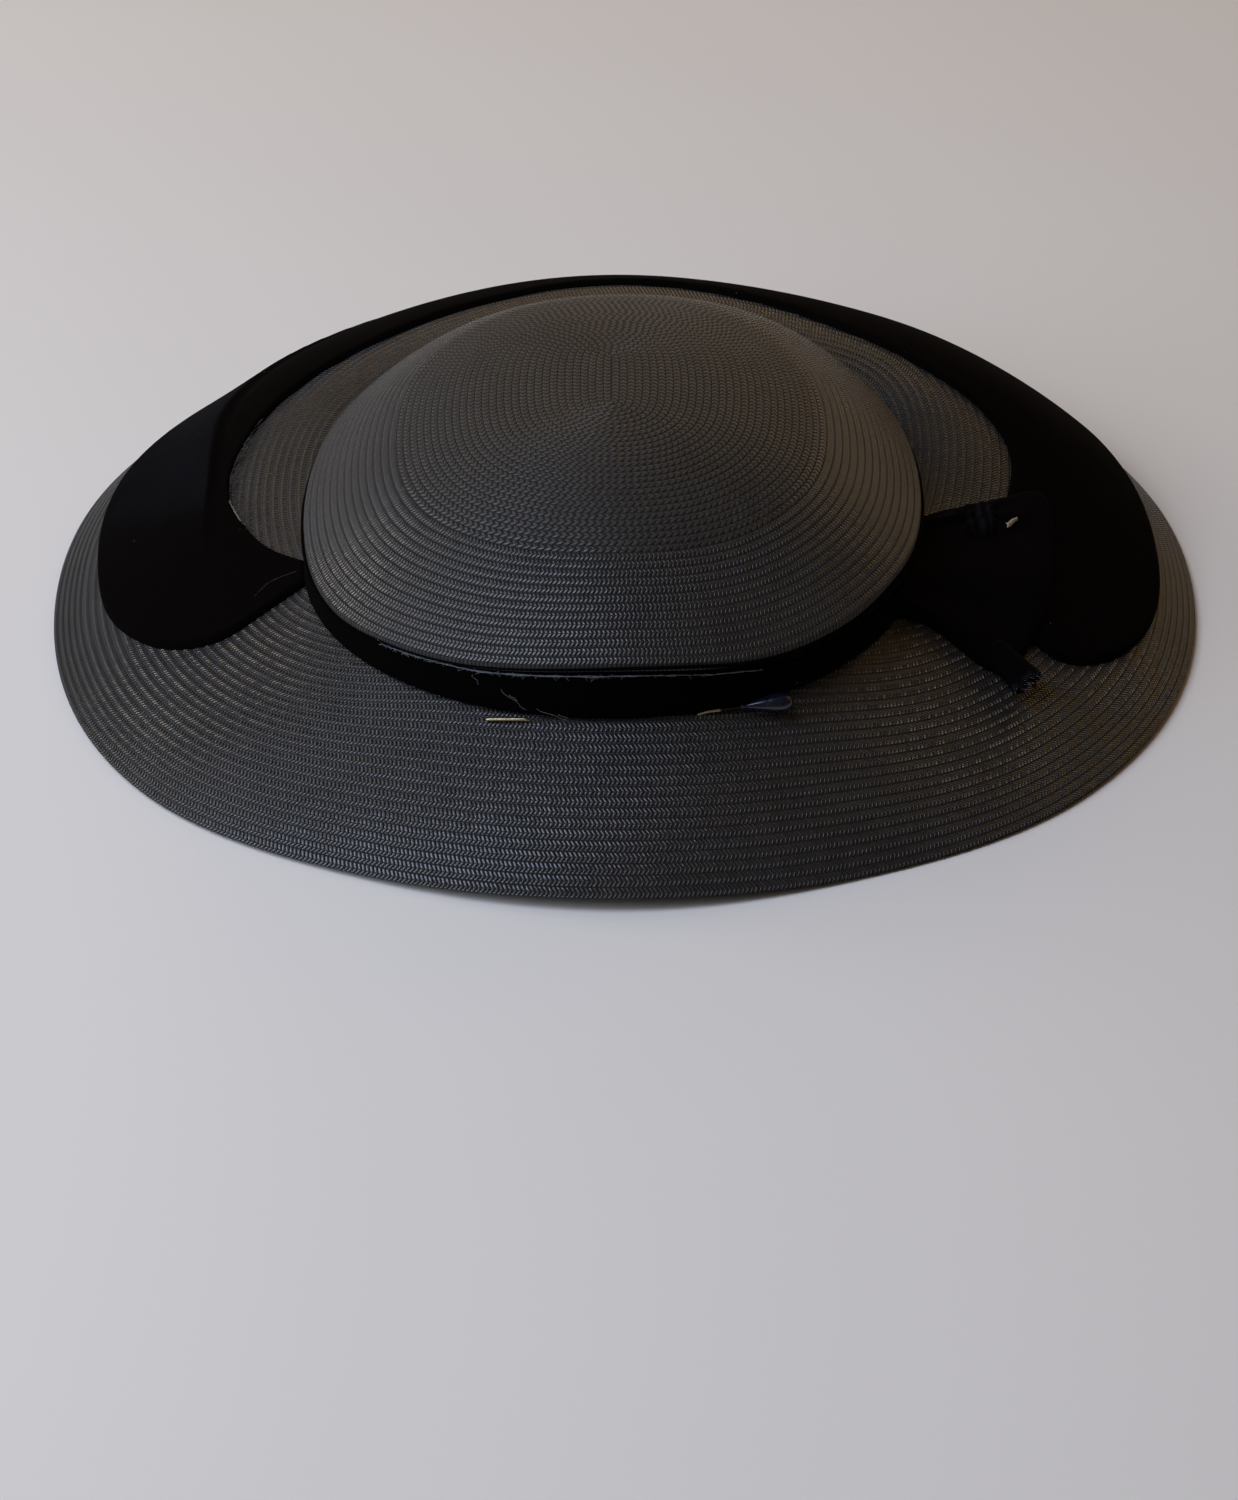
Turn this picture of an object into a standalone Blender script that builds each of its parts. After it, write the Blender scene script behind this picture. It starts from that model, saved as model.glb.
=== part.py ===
# Wide-brim hat of sewn straw braid with velvet trim, resting on its brim.
# Metres, +Z up. The origin is the middle of the hat's box, on the surface that it rests on.
# Azimuth runs in degrees from the front (-Y, 0) past -X (90) to the back (180) and past +X (270).

import math

import bmesh
import bpy
from mathutils import Matrix, Vector

# Walls and clearances
STRAW_WALL = 0.0014
VELVET_WALL = 0.0016
PIECE_GAP = 0.0003
TRIM_SEAT = 0.0006

# Head opening and crown
HEAD_HALF_WIDTH = 0.094
HEAD_SPINE_HALF = 0.015
SPINE_BLEND = 3.0
CROWN_RISE = 0.0378
CROWN_BULGE = 0.0016
CROWN_ROUNDING = 2.31
SHOULDER_RISE = 0.003
DOME_END_SHARE = 0.96

# Brim
BRIM_REACH = 0.088
BRIM_RISE = 0.037

# Velvet
BAND_HEIGHT = 0.014
BOW_WALL = 0.0022
KNOT_WIDTH = 0.009
KNOT_LENGTH = 0.014
KNOT_SWELL = 0.0012
KNOT_WALL = 0.0018
TAIL_HALF_WIDTH = 0.0060
TAIL_HALF_HEIGHT = 0.0034
TAIL_LENGTH = 0.018

# Hat pin
PIN_RADIUS = 0.0006
PIN_LENGTH = 0.092
PIN_HEAD_RADIUS = 0.0035
PIN_HEAD_LENGTH = 0.017
PIN_HEAD_STAND = 0.0020
PIN_HOLE_CLEARANCE = 0.0003
PIN_TIP_AZIMUTH = 22.0
PIN_TIP_SHARE = 0.09
PIN_HEAD_AZIMUTH = 328.0
PIN_HEAD_SHARE = 0.165

# Teardrop from its neck to its blunt end: share of its length, share of its radius.
PIN_HEAD_COLUMNS = ("along", "width")
PIN_HEAD_SECTIONS = (
    (0.02, 0.18),
    (0.12, 0.30),
    (0.30, 0.62),
    (0.50, 0.90),
    (0.70, 1.00),
    (0.86, 0.88),
    (0.96, 0.55),
)

# Mesh steps
AZIMUTH_STEPS = 72
BRIM_STEPS = 13
CROWN_STEPS = 11
CROWN_STEP_GROWTH = 1.25
VELVET_TURN = 4.5
VELVET_LANES = 6
KNOT_STEPS = 5
TAIL_SIDES = 16
TAIL_RINGS = 10
PIN_SIDES = 10
PIN_HEAD_SIDES = 14

# One row every 30 degrees: reach as a share of BRIM_REACH, the heights of the brim's foot and of its
# edge as shares of BRIM_RISE, how steeply the brim leaves the foot and meets the edge, in degrees, and
# the height of the band over the foot as a share of BAND_HEIGHT.
BRIM_COLUMNS = ("reach", "foot", "edge", "inner_slope", "outer_slope", "band")
BRIM_SECTIONS = (
    (0.54, 1.00, 0.10, 34, 50, 1.01),
    (0.58, 0.94, 0.02, 30, 46, 0.80),
    (0.79, 0.84, 0.00, 20, 34, 0.74),
    (0.965, 0.83, 0.02, 8, 28, 0.87),
    (1.09, 0.98, 0.00, -14, 38, 0.71),
    (1.12, 1.13, 0.00, -25, 56, 0.85),
    (1.16, 1.19, 0.02, -28, 62, 0.89),
    (1.17, 1.16, 0.00, -36, 57, 1.02),
    (1.18, 1.14, 0.00, -44, 48, 0.56),
    (1.055, 0.97, 0.01, 2, 27, 0.95),
    (0.81, 0.90, 0.00, 32, 20, 1.22),
    (0.58, 0.96, 0.00, 34, 42, 0.88),
)

# Velvet crescent, from the tip of its left lobe round the back to the right lobe: the azimuth and the
# share of the way from foot to edge, for its inner and its outer border.
CRESCENT_COLUMNS = ("inner_azimuth", "inner_share", "outer_azimuth", "outer_share")
CRESCENT_SECTIONS = (
    (85, 0.06, 79, 0.06),
    (90, 0.17, 76, 0.20),
    (95, 0.26, 74, 0.38),
    (100, 0.33, 75.5, 0.53),
    (106, 0.37, 79.5, 0.66),
    (113, 0.38, 87, 0.78),
    (121, 0.38, 98, 0.84),
    (131, 0.36, 112, 0.88),
    (144, 0.33, 132, 0.89),
    (160, 0.34, 157, 0.89),
    (180, 0.38, 180, 0.89),
    (202, 0.32, 205, 0.89),
    (222, 0.27, 228, 0.89),
    (237, 0.29, 246, 0.88),
    (247, 0.36, 259, 0.87),
    (254, 0.39, 270, 0.86),
    (260, 0.36, 278, 0.80),
    (266, 0.30, 283, 0.70),
    (272, 0.24, 285, 0.58),
    (277, 0.20, 284, 0.46),
)

# Velvet bow wing, from the band out over the right lobe, and how far it has risen from the brim to
# lie on the lobe, as a share.
BOW_COLUMNS = ("upper_azimuth", "upper_share", "lower_azimuth", "lower_share", "lift")
BOW_SECTIONS = (
    (267, 0.045, 288, 0.045, 0.10),
    (265, 0.12, 290, 0.12, 0.90),
    (262, 0.22, 291, 0.23, 1.00),
    (260, 0.33, 290, 0.35, 1.00),
    (259, 0.43, 288, 0.47, 1.00),
)
KNOT_AZIMUTH = 265.0
KNOT_SHARE = 0.27
TAIL_AZIMUTH = 287.5
TAIL_SHARE = 0.56
TAIL_TURN = 6.0
TAIL_SHIFT = -0.03

COLLECTION_NAME = "wide_brim_hat"


def table_value(rows, column, position, closed):
    """Smooth value of one table column at a position counted in rows."""
    count = len(rows)
    if closed:
        row = math.floor(position)
        picks = [(row + step) % count for step in (-1, 0, 1, 2)]
    else:
        row = min(max(math.floor(position), 0), count - 2)
        picks = [min(max(row + step, 0), count - 1) for step in (-1, 0, 1, 2)]
    along = position - row
    before, start, end, after = [rows[pick][column] for pick in picks]
    bend = 3 * (start - end) + after - before
    rise = 2 * before - 5 * start + 4 * end - after
    return start + 0.5 * along * (end - before + along * (rise + along * bend))


def brim_value(name, azimuth):
    position = (azimuth % 360.0) / 360.0 * len(BRIM_SECTIONS)
    return table_value(BRIM_SECTIONS, BRIM_COLUMNS.index(name), position, closed=True)


def outward(azimuth):
    angle = math.radians(azimuth)
    return Vector((-math.sin(angle), -math.cos(angle), 0.0))


def oval_point(azimuth, radius):
    """Plan point of the oval that keeps a radius from the short spine under the crown's top."""
    normal = outward(azimuth)
    spine_share = math.tanh(SPINE_BLEND * normal.y) / math.tanh(SPINE_BLEND)
    return Vector((normal.x * radius, normal.y * radius + HEAD_SPINE_HALF * spine_share, 0.0))


def brim_inner_radius():
    return HEAD_HALF_WIDTH - STRAW_WALL


def brim_face(azimuth, share):
    """Point on the brim's upper face, from the foot (share 0) to the edge (share 1)."""
    reach = BRIM_REACH * brim_value("reach", azimuth)
    inner_slope = math.radians(brim_value("inner_slope", azimuth))
    outer_slope = math.radians(brim_value("outer_slope", azimuth))
    foot_height = BRIM_RISE * brim_value("foot", azimuth)
    edge_height = BRIM_RISE * brim_value("edge", azimuth) + STRAW_WALL * math.cos(outer_slope)
    chord = math.hypot(reach, foot_height - edge_height)
    start_pull = share ** 3 - 2 * share ** 2 + share
    end_weight = 3 * share ** 2 - 2 * share ** 3
    end_pull = share ** 3 - share ** 2
    out = end_weight * reach
    out += chord * (start_pull * math.cos(inner_slope) + end_pull * math.cos(outer_slope))
    height = foot_height + end_weight * (edge_height - foot_height)
    height -= chord * (start_pull * math.sin(inner_slope) + end_pull * math.sin(outer_slope))
    point = oval_point(azimuth, brim_inner_radius()) + outward(azimuth) * out
    point.z = height
    return point


def brim_normal(azimuth, share):
    """Upward normal of the brim's upper face."""
    step = 0.01
    along = brim_face(azimuth + 1.0, share) - brim_face(azimuth - 1.0, share)
    out = brim_face(azimuth, min(share + step, 1.0)) - brim_face(azimuth, max(share - step, 0.0))
    return along.cross(out).normalized()


def over_brim(azimuth, share, lift):
    return brim_face(azimuth, share) + brim_normal(azimuth, share) * lift


def brim_height_at(azimuth, radius_from_spine):
    """Height of the brim's upper face near its foot, at a distance from the spine."""
    reach = BRIM_REACH * brim_value("reach", azimuth)
    return brim_face(azimuth, (radius_from_spine - brim_inner_radius()) / reach).z


def seat_height(azimuth, inner_radius, outer_radius):
    """Lowest height at which a wall between two radii clears the brim under it."""
    return max(brim_height_at(azimuth, inner_radius), brim_height_at(azimuth, outer_radius)) + PIECE_GAP


def crown_top():
    return BRIM_RISE + BAND_HEIGHT + CROWN_RISE


def band_top(azimuth):
    seat = seat_height(azimuth, brim_inner_radius(), HEAD_HALF_WIDTH)
    return seat + BAND_HEIGHT * brim_value("band", azimuth)


def crown_face(azimuth, share):
    """Point on the crown's dome, from just over the band (share 0) to the spine (share 1)."""
    left = 1.0 - share
    point = oval_point(azimuth, (HEAD_HALF_WIDTH + CROWN_BULGE) * left)
    start = band_top(azimuth) + SHOULDER_RISE
    point.z = start + (crown_top() - start) * (1.0 - left ** CROWN_ROUNDING)
    return point


def hat_centre():
    """Middle of the brim's outline in plan, at the height of its lowest edge."""
    edge = [over_brim(azimuth, 1.0, -STRAW_WALL) for azimuth in range(360)]
    middle_x = (min(p.x for p in edge) + max(p.x for p in edge)) / 2
    middle_y = (min(p.y for p in edge) + max(p.y for p in edge)) / 2
    return Vector((middle_x, middle_y, min(p.z for p in edge)))


def make_material(name, colour, roughness, metallic=0.0):
    material = bpy.data.materials.new(name)
    material.use_nodes = True
    shader = material.node_tree.nodes["Principled BSDF"]
    shader.inputs["Base Color"].default_value = (*colour, 1.0)
    shader.inputs["Roughness"].default_value = roughness
    shader.inputs["Metallic"].default_value = metallic
    return material


def grid_mesh(name, rings, closed, cap_last=False):
    """Open surface through rings of points; its faces look to the left of ring order."""
    mesh = bpy.data.meshes.new(name)
    surface = bmesh.new()
    verts = [[surface.verts.new(point) for point in ring] for ring in rings]
    across = len(rings[0])
    last = across if closed else across - 1
    for lower, upper in zip(verts, verts[1:]):
        for index in range(last):
            following = (index + 1) % across
            surface.faces.new((lower[index], lower[following], upper[following], upper[index]))
    if cap_last:
        surface.faces.new(verts[-1])
    surface.normal_update()
    surface.to_mesh(mesh)
    surface.free()
    mesh.shade_smooth()
    return mesh


def add_piece(name, mesh, material, parent, collection):
    piece = bpy.data.objects.new(name, mesh)
    mesh.materials.clear()
    mesh.materials.append(material)
    piece.parent = parent
    collection.objects.link(piece)
    return piece


def add_wall(piece, thickness, offset):
    solidify = piece.modifiers.new("wall", "SOLIDIFY")
    solidify.thickness = thickness
    solidify.offset = offset
    solidify.use_even_offset = True


def azimuths():
    return [360.0 * step / AZIMUTH_STEPS for step in range(AZIMUTH_STEPS)]


def build_brim(material, parent, collection):
    shares = [step / BRIM_STEPS for step in range(BRIM_STEPS + 1)]
    rings = [[brim_face(azimuth, share) for azimuth in azimuths()] for share in shares]
    brim = add_piece("brim", grid_mesh("brim", rings, closed=True), material, parent, collection)
    add_wall(brim, STRAW_WALL, -1.0 if faces_up(brim.data) else 1.0)
    return brim


def faces_up(mesh):
    return sum(face.normal.z * face.area for face in mesh.polygons) > 0


def build_crown(material, parent, collection):
    foot = []
    top_of_band = []
    for azimuth in azimuths():
        point = oval_point(azimuth, HEAD_HALF_WIDTH)
        point.z = seat_height(azimuth, brim_inner_radius(), HEAD_HALF_WIDTH)
        foot.append(point)
        top = point.copy()
        top.z = band_top(azimuth)
        top_of_band.append(top)
    steps = range(CROWN_STEPS + 1)
    dome_shares = [DOME_END_SHARE * (step / CROWN_STEPS) ** CROWN_STEP_GROWTH for step in steps]
    dome = [[crown_face(azimuth, share) for azimuth in azimuths()] for share in dome_shares]
    mesh = grid_mesh("crown", [foot, top_of_band] + dome, closed=True, cap_last=True)
    crown = add_piece("crown", mesh, material, parent, collection)
    add_wall(crown, STRAW_WALL, -1.0 if faces_up(mesh) else 1.0)
    return crown


def build_band(material, parent, collection):
    inner = HEAD_HALF_WIDTH + PIECE_GAP
    outer = inner + VELVET_WALL
    lower = []
    upper = []
    for azimuth in azimuths():
        point = oval_point(azimuth, inner)
        point.z = seat_height(azimuth, inner, outer) + PIECE_GAP
        lower.append(point)
        top = point.copy()
        top.z = band_top(azimuth)
        upper.append(top)
    mesh = grid_mesh("velvet_band", [lower, upper], closed=True)
    band = add_piece("velvet_band", mesh, material, parent, collection)
    faces_out = mesh.polygons[0].normal.dot(outward(0.0)) > 0
    add_wall(band, VELVET_WALL, 1.0 if faces_out else -1.0)
    return band


def station_positions(rows):
    """Places along a table, counted in rows, that turn round the hat by small even steps."""
    positions = [0.0]
    for row, (start, end) in enumerate(zip(rows, rows[1:])):
        turn = max(abs(end[0] - start[0]), abs(end[2] - start[2]))
        steps = max(2, math.ceil(turn / VELVET_TURN))
        positions += [row + (step + 1) / steps for step in range(steps)]
    return positions


def sheet_over_brim(name, rows, lift_at):
    """Open surface over the brim between two borders that a table gives row by row."""
    rings = []
    for position in station_positions(rows):
        values = [table_value(rows, column, position, closed=False) for column in range(len(rows[0]))]
        ring = []
        for lane in range(VELVET_LANES + 1):
            across = lane / VELVET_LANES
            azimuth = values[0] + (values[2] - values[0]) * across
            share = values[1] + (values[3] - values[1]) * across
            ring.append(over_brim(azimuth, share, lift_at(values)))
        rings.append(ring)
    return grid_mesh(name, rings, closed=False)


def build_crescent(material, parent, collection):
    mesh = sheet_over_brim("velvet_crescent", CRESCENT_SECTIONS, lambda values: TRIM_SEAT)
    crescent = add_piece("velvet_crescent", mesh, material, parent, collection)
    add_wall(crescent, VELVET_WALL, 1.0 if faces_up(mesh) else -1.0)
    return crescent


def bow_stand(values):
    """Height of the wing's underside over the brim, from the straw up onto the lobe."""
    return TRIM_SEAT + (VELVET_WALL + TRIM_SEAT) * values[BOW_COLUMNS.index("lift")]


def build_bow(material, parent, collection):
    mesh = sheet_over_brim("bow_loop", BOW_SECTIONS, bow_stand)
    loop = add_piece("bow_loop", mesh, material, parent, collection)
    add_wall(loop, BOW_WALL, 1.0 if faces_up(mesh) else -1.0)
    return loop


def build_knot(material, parent, collection):
    """Wrap of velvet lying across the wing near its upper border."""
    stand = TRIM_SEAT + VELVET_WALL + TRIM_SEAT + BOW_WALL + PIECE_GAP
    half_turn = math.degrees(KNOT_LENGTH / 2 / HEAD_HALF_WIDTH)
    rings = []
    for step in range(KNOT_STEPS + 1):
        along = step / KNOT_STEPS
        share = KNOT_SHARE + (along - 0.5) * KNOT_WIDTH / BRIM_REACH
        ring = []
        for lane in range(KNOT_STEPS + 1):
            across = lane / KNOT_STEPS
            azimuth = KNOT_AZIMUTH + (across * 2 - 1) * half_turn
            swell = KNOT_SWELL * math.sin(math.pi * across) * math.sin(math.pi * along)
            ring.append(over_brim(azimuth, share, stand + swell))
        rings.append(ring)
    mesh = grid_mesh("bow_knot", rings, closed=False)
    knot = add_piece("bow_knot", mesh, material, parent, collection)
    add_wall(knot, KNOT_WALL, 1.0 if faces_up(mesh) else -1.0)
    return knot


def build_tail(material, parent, collection):
    """Flattened roll of velvet past the end of the right lobe."""
    stand = TAIL_HALF_HEIGHT + TRIM_SEAT
    start = over_brim(TAIL_AZIMUTH, TAIL_SHARE, stand)
    ahead = over_brim(TAIL_AZIMUTH + TAIL_TURN, TAIL_SHARE + TAIL_SHIFT, stand)
    normal = brim_normal(TAIL_AZIMUTH + TAIL_TURN, TAIL_SHARE)
    along = (ahead - start).normalized()
    side = normal.cross(along).normalized()
    turn = Matrix((along, side, along.cross(side))).transposed().to_4x4()
    shape = Matrix.Diagonal((TAIL_LENGTH / 2, TAIL_HALF_WIDTH, TAIL_HALF_HEIGHT, 1.0))
    mesh = bpy.data.meshes.new("bow_tail")
    roll = bmesh.new()
    bmesh.ops.create_uvsphere(roll, u_segments=TAIL_SIDES, v_segments=TAIL_RINGS, radius=1.0)
    roll.transform(Matrix.Translation(start + along * TAIL_LENGTH / 2) @ turn @ shape)
    roll.to_mesh(mesh)
    roll.free()
    mesh.shade_smooth()
    return add_piece("bow_tail", mesh, material, parent, collection)


def pin_frame():
    """Matrix at the pin's tip, whose X axis runs back along the pin to its head."""
    ahead = over_brim(PIN_TIP_AZIMUTH, PIN_TIP_SHARE, PIN_RADIUS + PIECE_GAP)
    head_end = over_brim(PIN_HEAD_AZIMUTH, PIN_HEAD_SHARE, PIN_HEAD_RADIUS + PIN_HEAD_STAND)
    along = (head_end - ahead).normalized()
    side = Vector((0.0, 0.0, 1.0)).cross(along).normalized()
    turn = Matrix((along, side, along.cross(side))).transposed().to_4x4()
    return Matrix.Translation(head_end - along * PIN_LENGTH) @ turn


def pin_solid(name, radius, start, length):
    mesh = bpy.data.meshes.new(name)
    rod = bmesh.new()
    bmesh.ops.create_cone(
        rod, cap_ends=True, segments=PIN_SIDES, radius1=radius, radius2=radius, depth=length)
    lie_along = Matrix.Rotation(math.radians(90.0), 4, "Y")
    rod.transform(pin_frame() @ Matrix.Translation((start + length / 2, 0.0, 0.0)) @ lie_along)
    rod.to_mesh(mesh)
    rod.free()
    mesh.shade_smooth()
    mesh.set_sharp_from_angle(angle=math.radians(40.0))
    return mesh


def pin_head_mesh():
    """Teardrop round the pin's axis, closed at both ends."""
    mesh = bpy.data.meshes.new("hat_pin_head")
    drop = bmesh.new()
    rings = []
    for along, width in PIN_HEAD_SECTIONS:
        ring = []
        for side in range(PIN_HEAD_SIDES):
            angle = 2 * math.pi * side / PIN_HEAD_SIDES
            across = Vector((0.0, math.cos(angle), math.sin(angle))) * width * PIN_HEAD_RADIUS
            ring.append(drop.verts.new(Vector((along * PIN_HEAD_LENGTH, 0.0, 0.0)) + across))
        rings.append(ring)
    for lower, upper in zip(rings, rings[1:]):
        for side in range(PIN_HEAD_SIDES):
            following = (side + 1) % PIN_HEAD_SIDES
            drop.faces.new((lower[side], upper[side], upper[following], lower[following]))
    drop.faces.new(rings[0])
    drop.faces.new(list(reversed(rings[-1])))
    bmesh.ops.recalc_face_normals(drop, faces=drop.faces[:])
    drop.transform(pin_frame() @ Matrix.Translation((PIN_LENGTH - PIN_HEAD_LENGTH, 0.0, 0.0)))
    drop.to_mesh(mesh)
    drop.free()
    mesh.shade_smooth()
    return mesh


def build_pin(steel, glass, brim, parent, collection, cutters):
    shaft_mesh = pin_solid("hat_pin_shaft", PIN_RADIUS, 0.0, PIN_LENGTH - PIN_HEAD_LENGTH - PIECE_GAP)
    add_piece("hat_pin_shaft", shaft_mesh, steel, parent, collection)
    hole_mesh = pin_solid("pin_hole", PIN_RADIUS + PIN_HOLE_CLEARANCE, -PIN_RADIUS, PIN_LENGTH)
    hole = add_piece("pin_hole", hole_mesh, steel, parent, cutters)
    hole.hide_render = True
    hole.display_type = "WIRE"
    cut = brim.modifiers.new("pin_hole", "BOOLEAN")
    cut.operation = "DIFFERENCE"
    cut.solver = "EXACT"
    cut.object = hole
    add_piece("hat_pin_head", pin_head_mesh(), glass, parent, collection)


def clear_scene():
    for item in list(bpy.data.objects):
        bpy.data.objects.remove(item, do_unlink=True)


def main():
    clear_scene()
    collection = bpy.data.collections.new(COLLECTION_NAME)
    cutters = bpy.data.collections.new("cutters")
    bpy.context.scene.collection.children.link(collection)
    bpy.context.scene.collection.children.link(cutters)

    origin = bpy.data.objects.new("hat_origin", None)
    origin.location = -hat_centre()
    collection.objects.link(origin)

    straw = make_material("black_straw_braid", (0.012, 0.012, 0.014), 0.42)
    velvet = make_material("black_velvet", (0.0025, 0.002, 0.002), 0.95)
    steel = make_material("gilt_steel", (0.62, 0.50, 0.30), 0.30, metallic=1.0)
    glass = make_material("dark_blue_glass", (0.015, 0.035, 0.11), 0.12)

    brim = build_brim(straw, origin, collection)
    build_crown(straw, origin, collection)
    build_band(velvet, origin, collection)
    build_crescent(velvet, origin, collection)
    build_bow(velvet, origin, collection)
    build_knot(velvet, origin, collection)
    build_tail(velvet, origin, collection)
    build_pin(steel, glass, brim, origin, collection, cutters)


main()
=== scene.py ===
import math
from functools import partial

import bpy
import numpy as np
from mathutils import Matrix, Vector


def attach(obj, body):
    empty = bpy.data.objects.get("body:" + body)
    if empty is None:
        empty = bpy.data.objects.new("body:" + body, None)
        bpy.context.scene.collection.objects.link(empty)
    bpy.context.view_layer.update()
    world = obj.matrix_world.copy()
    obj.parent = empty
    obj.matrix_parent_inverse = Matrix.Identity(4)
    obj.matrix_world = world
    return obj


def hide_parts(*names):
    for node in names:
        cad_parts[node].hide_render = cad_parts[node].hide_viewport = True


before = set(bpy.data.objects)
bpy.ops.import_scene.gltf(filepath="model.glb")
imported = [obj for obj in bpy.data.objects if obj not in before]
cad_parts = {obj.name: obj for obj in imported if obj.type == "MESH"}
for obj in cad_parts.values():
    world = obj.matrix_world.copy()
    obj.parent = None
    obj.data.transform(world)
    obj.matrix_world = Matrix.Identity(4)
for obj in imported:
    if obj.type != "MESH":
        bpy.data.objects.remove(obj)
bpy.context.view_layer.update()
print("frame loaded:", sorted(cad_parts))


# the hat's own measures in metres, the same as the solids were built from
hat = {
    "strawWall": 0.0014,
    "pieceGap": 0.0003,
    "trimSeat": 0.0006,
    "headHalfWidth": 0.094,
    "spineHalf": 0.015,
    "spineBlend": 3.0,
    "crownRise": 0.0378,
    "crownBulge": 0.0016,
    "crownRounding": 2.31,
    "shoulderRise": 0.003,
    "brimReach": 0.088,
    "brimRise": 0.037,
    "bandHeight": 0.014,
}

# every 30 degrees, from the front towards the side that faces the window: the brim's reach, its foot's and
# its edge's height, its inner and outer slope, and the band's height; at each side the foot stands up to
# 4.4 mm higher than in the solids, as the photo has it
brimSections = (
    (0.54, 1.00, 0.10, 34, 50, 1.01),
    (0.58, 0.97, 0.02, 31, 46, 0.72),
    (0.79, 0.92, 0.00, 25, 34, 0.53),
    (0.965, 0.83, 0.02, 8, 28, 0.87),
    (1.09, 0.98, 0.00, -14, 38, 0.71),
    (1.12, 1.13, 0.00, -25, 56, 0.85),
    (1.16, 1.19, 0.02, -28, 62, 0.89),
    (1.17, 1.16, 0.00, -36, 57, 1.02),
    (1.18, 1.14, 0.00, -44, 48, 0.56),
    (1.055, 0.97, 0.01, 2, 27, 0.95),
    (0.81, 1.02, 0.00, 36, 20, 0.90),
    (0.58, 0.99, 0.00, 35, 42, 0.80),
)


def tableAt(rows, column, position, closed):
    values = np.array([row[column] for row in rows], float)
    position = np.asarray(position, float)
    if closed:
        row = np.floor(position).astype(int)
        picks = [(row + step) % len(values) for step in (-1, 0, 1, 2)]
    else:
        row = np.clip(np.floor(position).astype(int), 0, len(values) - 2)
        picks = [np.clip(row + step, 0, len(values) - 1) for step in (-1, 0, 1, 2)]
    before, start, end, after = [values[pick] for pick in picks]
    along = position - row
    bend = 3 * (start - end) + after - before
    rise = 2 * before - 5 * start + 4 * end - after
    return start + 0.5 * along * (end - before + along * (rise + along * bend))


def outward(azimuth):
    angle = np.radians(azimuth)
    return np.stack([-np.sin(angle), -np.cos(angle), np.zeros_like(angle)], -1)


def ovalPoint(azimuth, radius):
    normal = outward(azimuth)
    spine = np.tanh(hat["spineBlend"] * normal[..., 1]) / math.tanh(hat["spineBlend"]) * hat["spineHalf"]
    point = normal * np.asarray(radius)[..., None]
    point[..., 1] += spine
    return point


def brimAt(column, azimuth):
    return tableAt(brimSections, column, np.asarray(azimuth, float) % 360 / 30, True)


def rawBrimFace(azimuth, share):
    azimuth, share = np.broadcast_arrays(np.asarray(azimuth, float), np.asarray(share, float))
    reach, foot, edge, inner, outer = [brimAt(column, azimuth) for column in range(5)]
    reach = reach * hat["brimReach"]
    inner, outer = np.radians(inner), np.radians(outer)
    foot = foot * hat["brimRise"]
    edge = edge * hat["brimRise"] + hat["strawWall"] * np.cos(outer)
    chord = np.hypot(reach, foot - edge)
    startPull = share ** 3 - 2 * share ** 2 + share
    endWeight = 3 * share ** 2 - 2 * share ** 3
    endPull = share ** 3 - share ** 2
    out = endWeight * reach + chord * (startPull * np.cos(inner) + endPull * np.cos(outer))
    height = foot + endWeight * (edge - foot)
    height = height - chord * (startPull * np.sin(inner) + endPull * np.sin(outer))
    point = ovalPoint(azimuth, np.full(azimuth.shape, hat["headHalfWidth"] - hat["strawWall"]))
    point = point + outward(azimuth) * out[..., None]
    point[..., 2] = height
    return point


def brimNormal(azimuth, share):
    azimuth, share = np.broadcast_arrays(np.asarray(azimuth, float), np.asarray(share, float))
    along = rawBrimFace(azimuth + 1, share) - rawBrimFace(azimuth - 1, share)
    outer, inner = np.minimum(share + 0.01, 1), np.maximum(share - 0.01, 0)
    out = rawBrimFace(azimuth, outer) - rawBrimFace(azimuth, inner)
    normal = np.cross(along, out)
    return normal / np.linalg.norm(normal, axis=-1, keepdims=True)


def findCentre():
    azimuth = np.arange(360.0)
    edge = rawBrimFace(azimuth, 1.0) - brimNormal(azimuth, 1.0) * hat["strawWall"]
    low, high = edge.min(0), edge.max(0)
    return np.array([(low[0] + high[0]) / 2, (low[1] + high[1]) / 2, low[2]])


hatCentre = findCentre()


def overBrim(azimuth, share, lift=0.0):
    lift = np.asarray(lift, float)
    return rawBrimFace(azimuth, share) + brimNormal(azimuth, share) * lift[..., None] - hatCentre


def seatHeight(azimuth, innerRadius, outerRadius):
    reach = hat["brimReach"] * brimAt(0, azimuth)
    foot = hat["headHalfWidth"] - hat["strawWall"]
    heights = [rawBrimFace(azimuth, (radius - foot) / reach)[..., 2] for radius in (innerRadius, outerRadius)]
    return np.maximum(*heights) + hat["pieceGap"]


def bandTop(azimuth):
    inner = hat["headHalfWidth"] - hat["strawWall"]
    return seatHeight(azimuth, inner, hat["headHalfWidth"]) + hat["bandHeight"] * brimAt(5, azimuth)


def crownFace(azimuth, share):
    azimuth, share = np.broadcast_arrays(np.asarray(azimuth, float), np.asarray(share, float))
    left = 1 - share
    point = ovalPoint(azimuth, (hat["headHalfWidth"] + hat["crownBulge"]) * left)
    start = bandTop(azimuth) + hat["shoulderRise"]
    top = hat["brimRise"] + hat["bandHeight"] + hat["crownRise"]
    point[..., 2] = start + (top - start) * (1 - left ** hat["crownRounding"])
    return point - hatCentre


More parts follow.
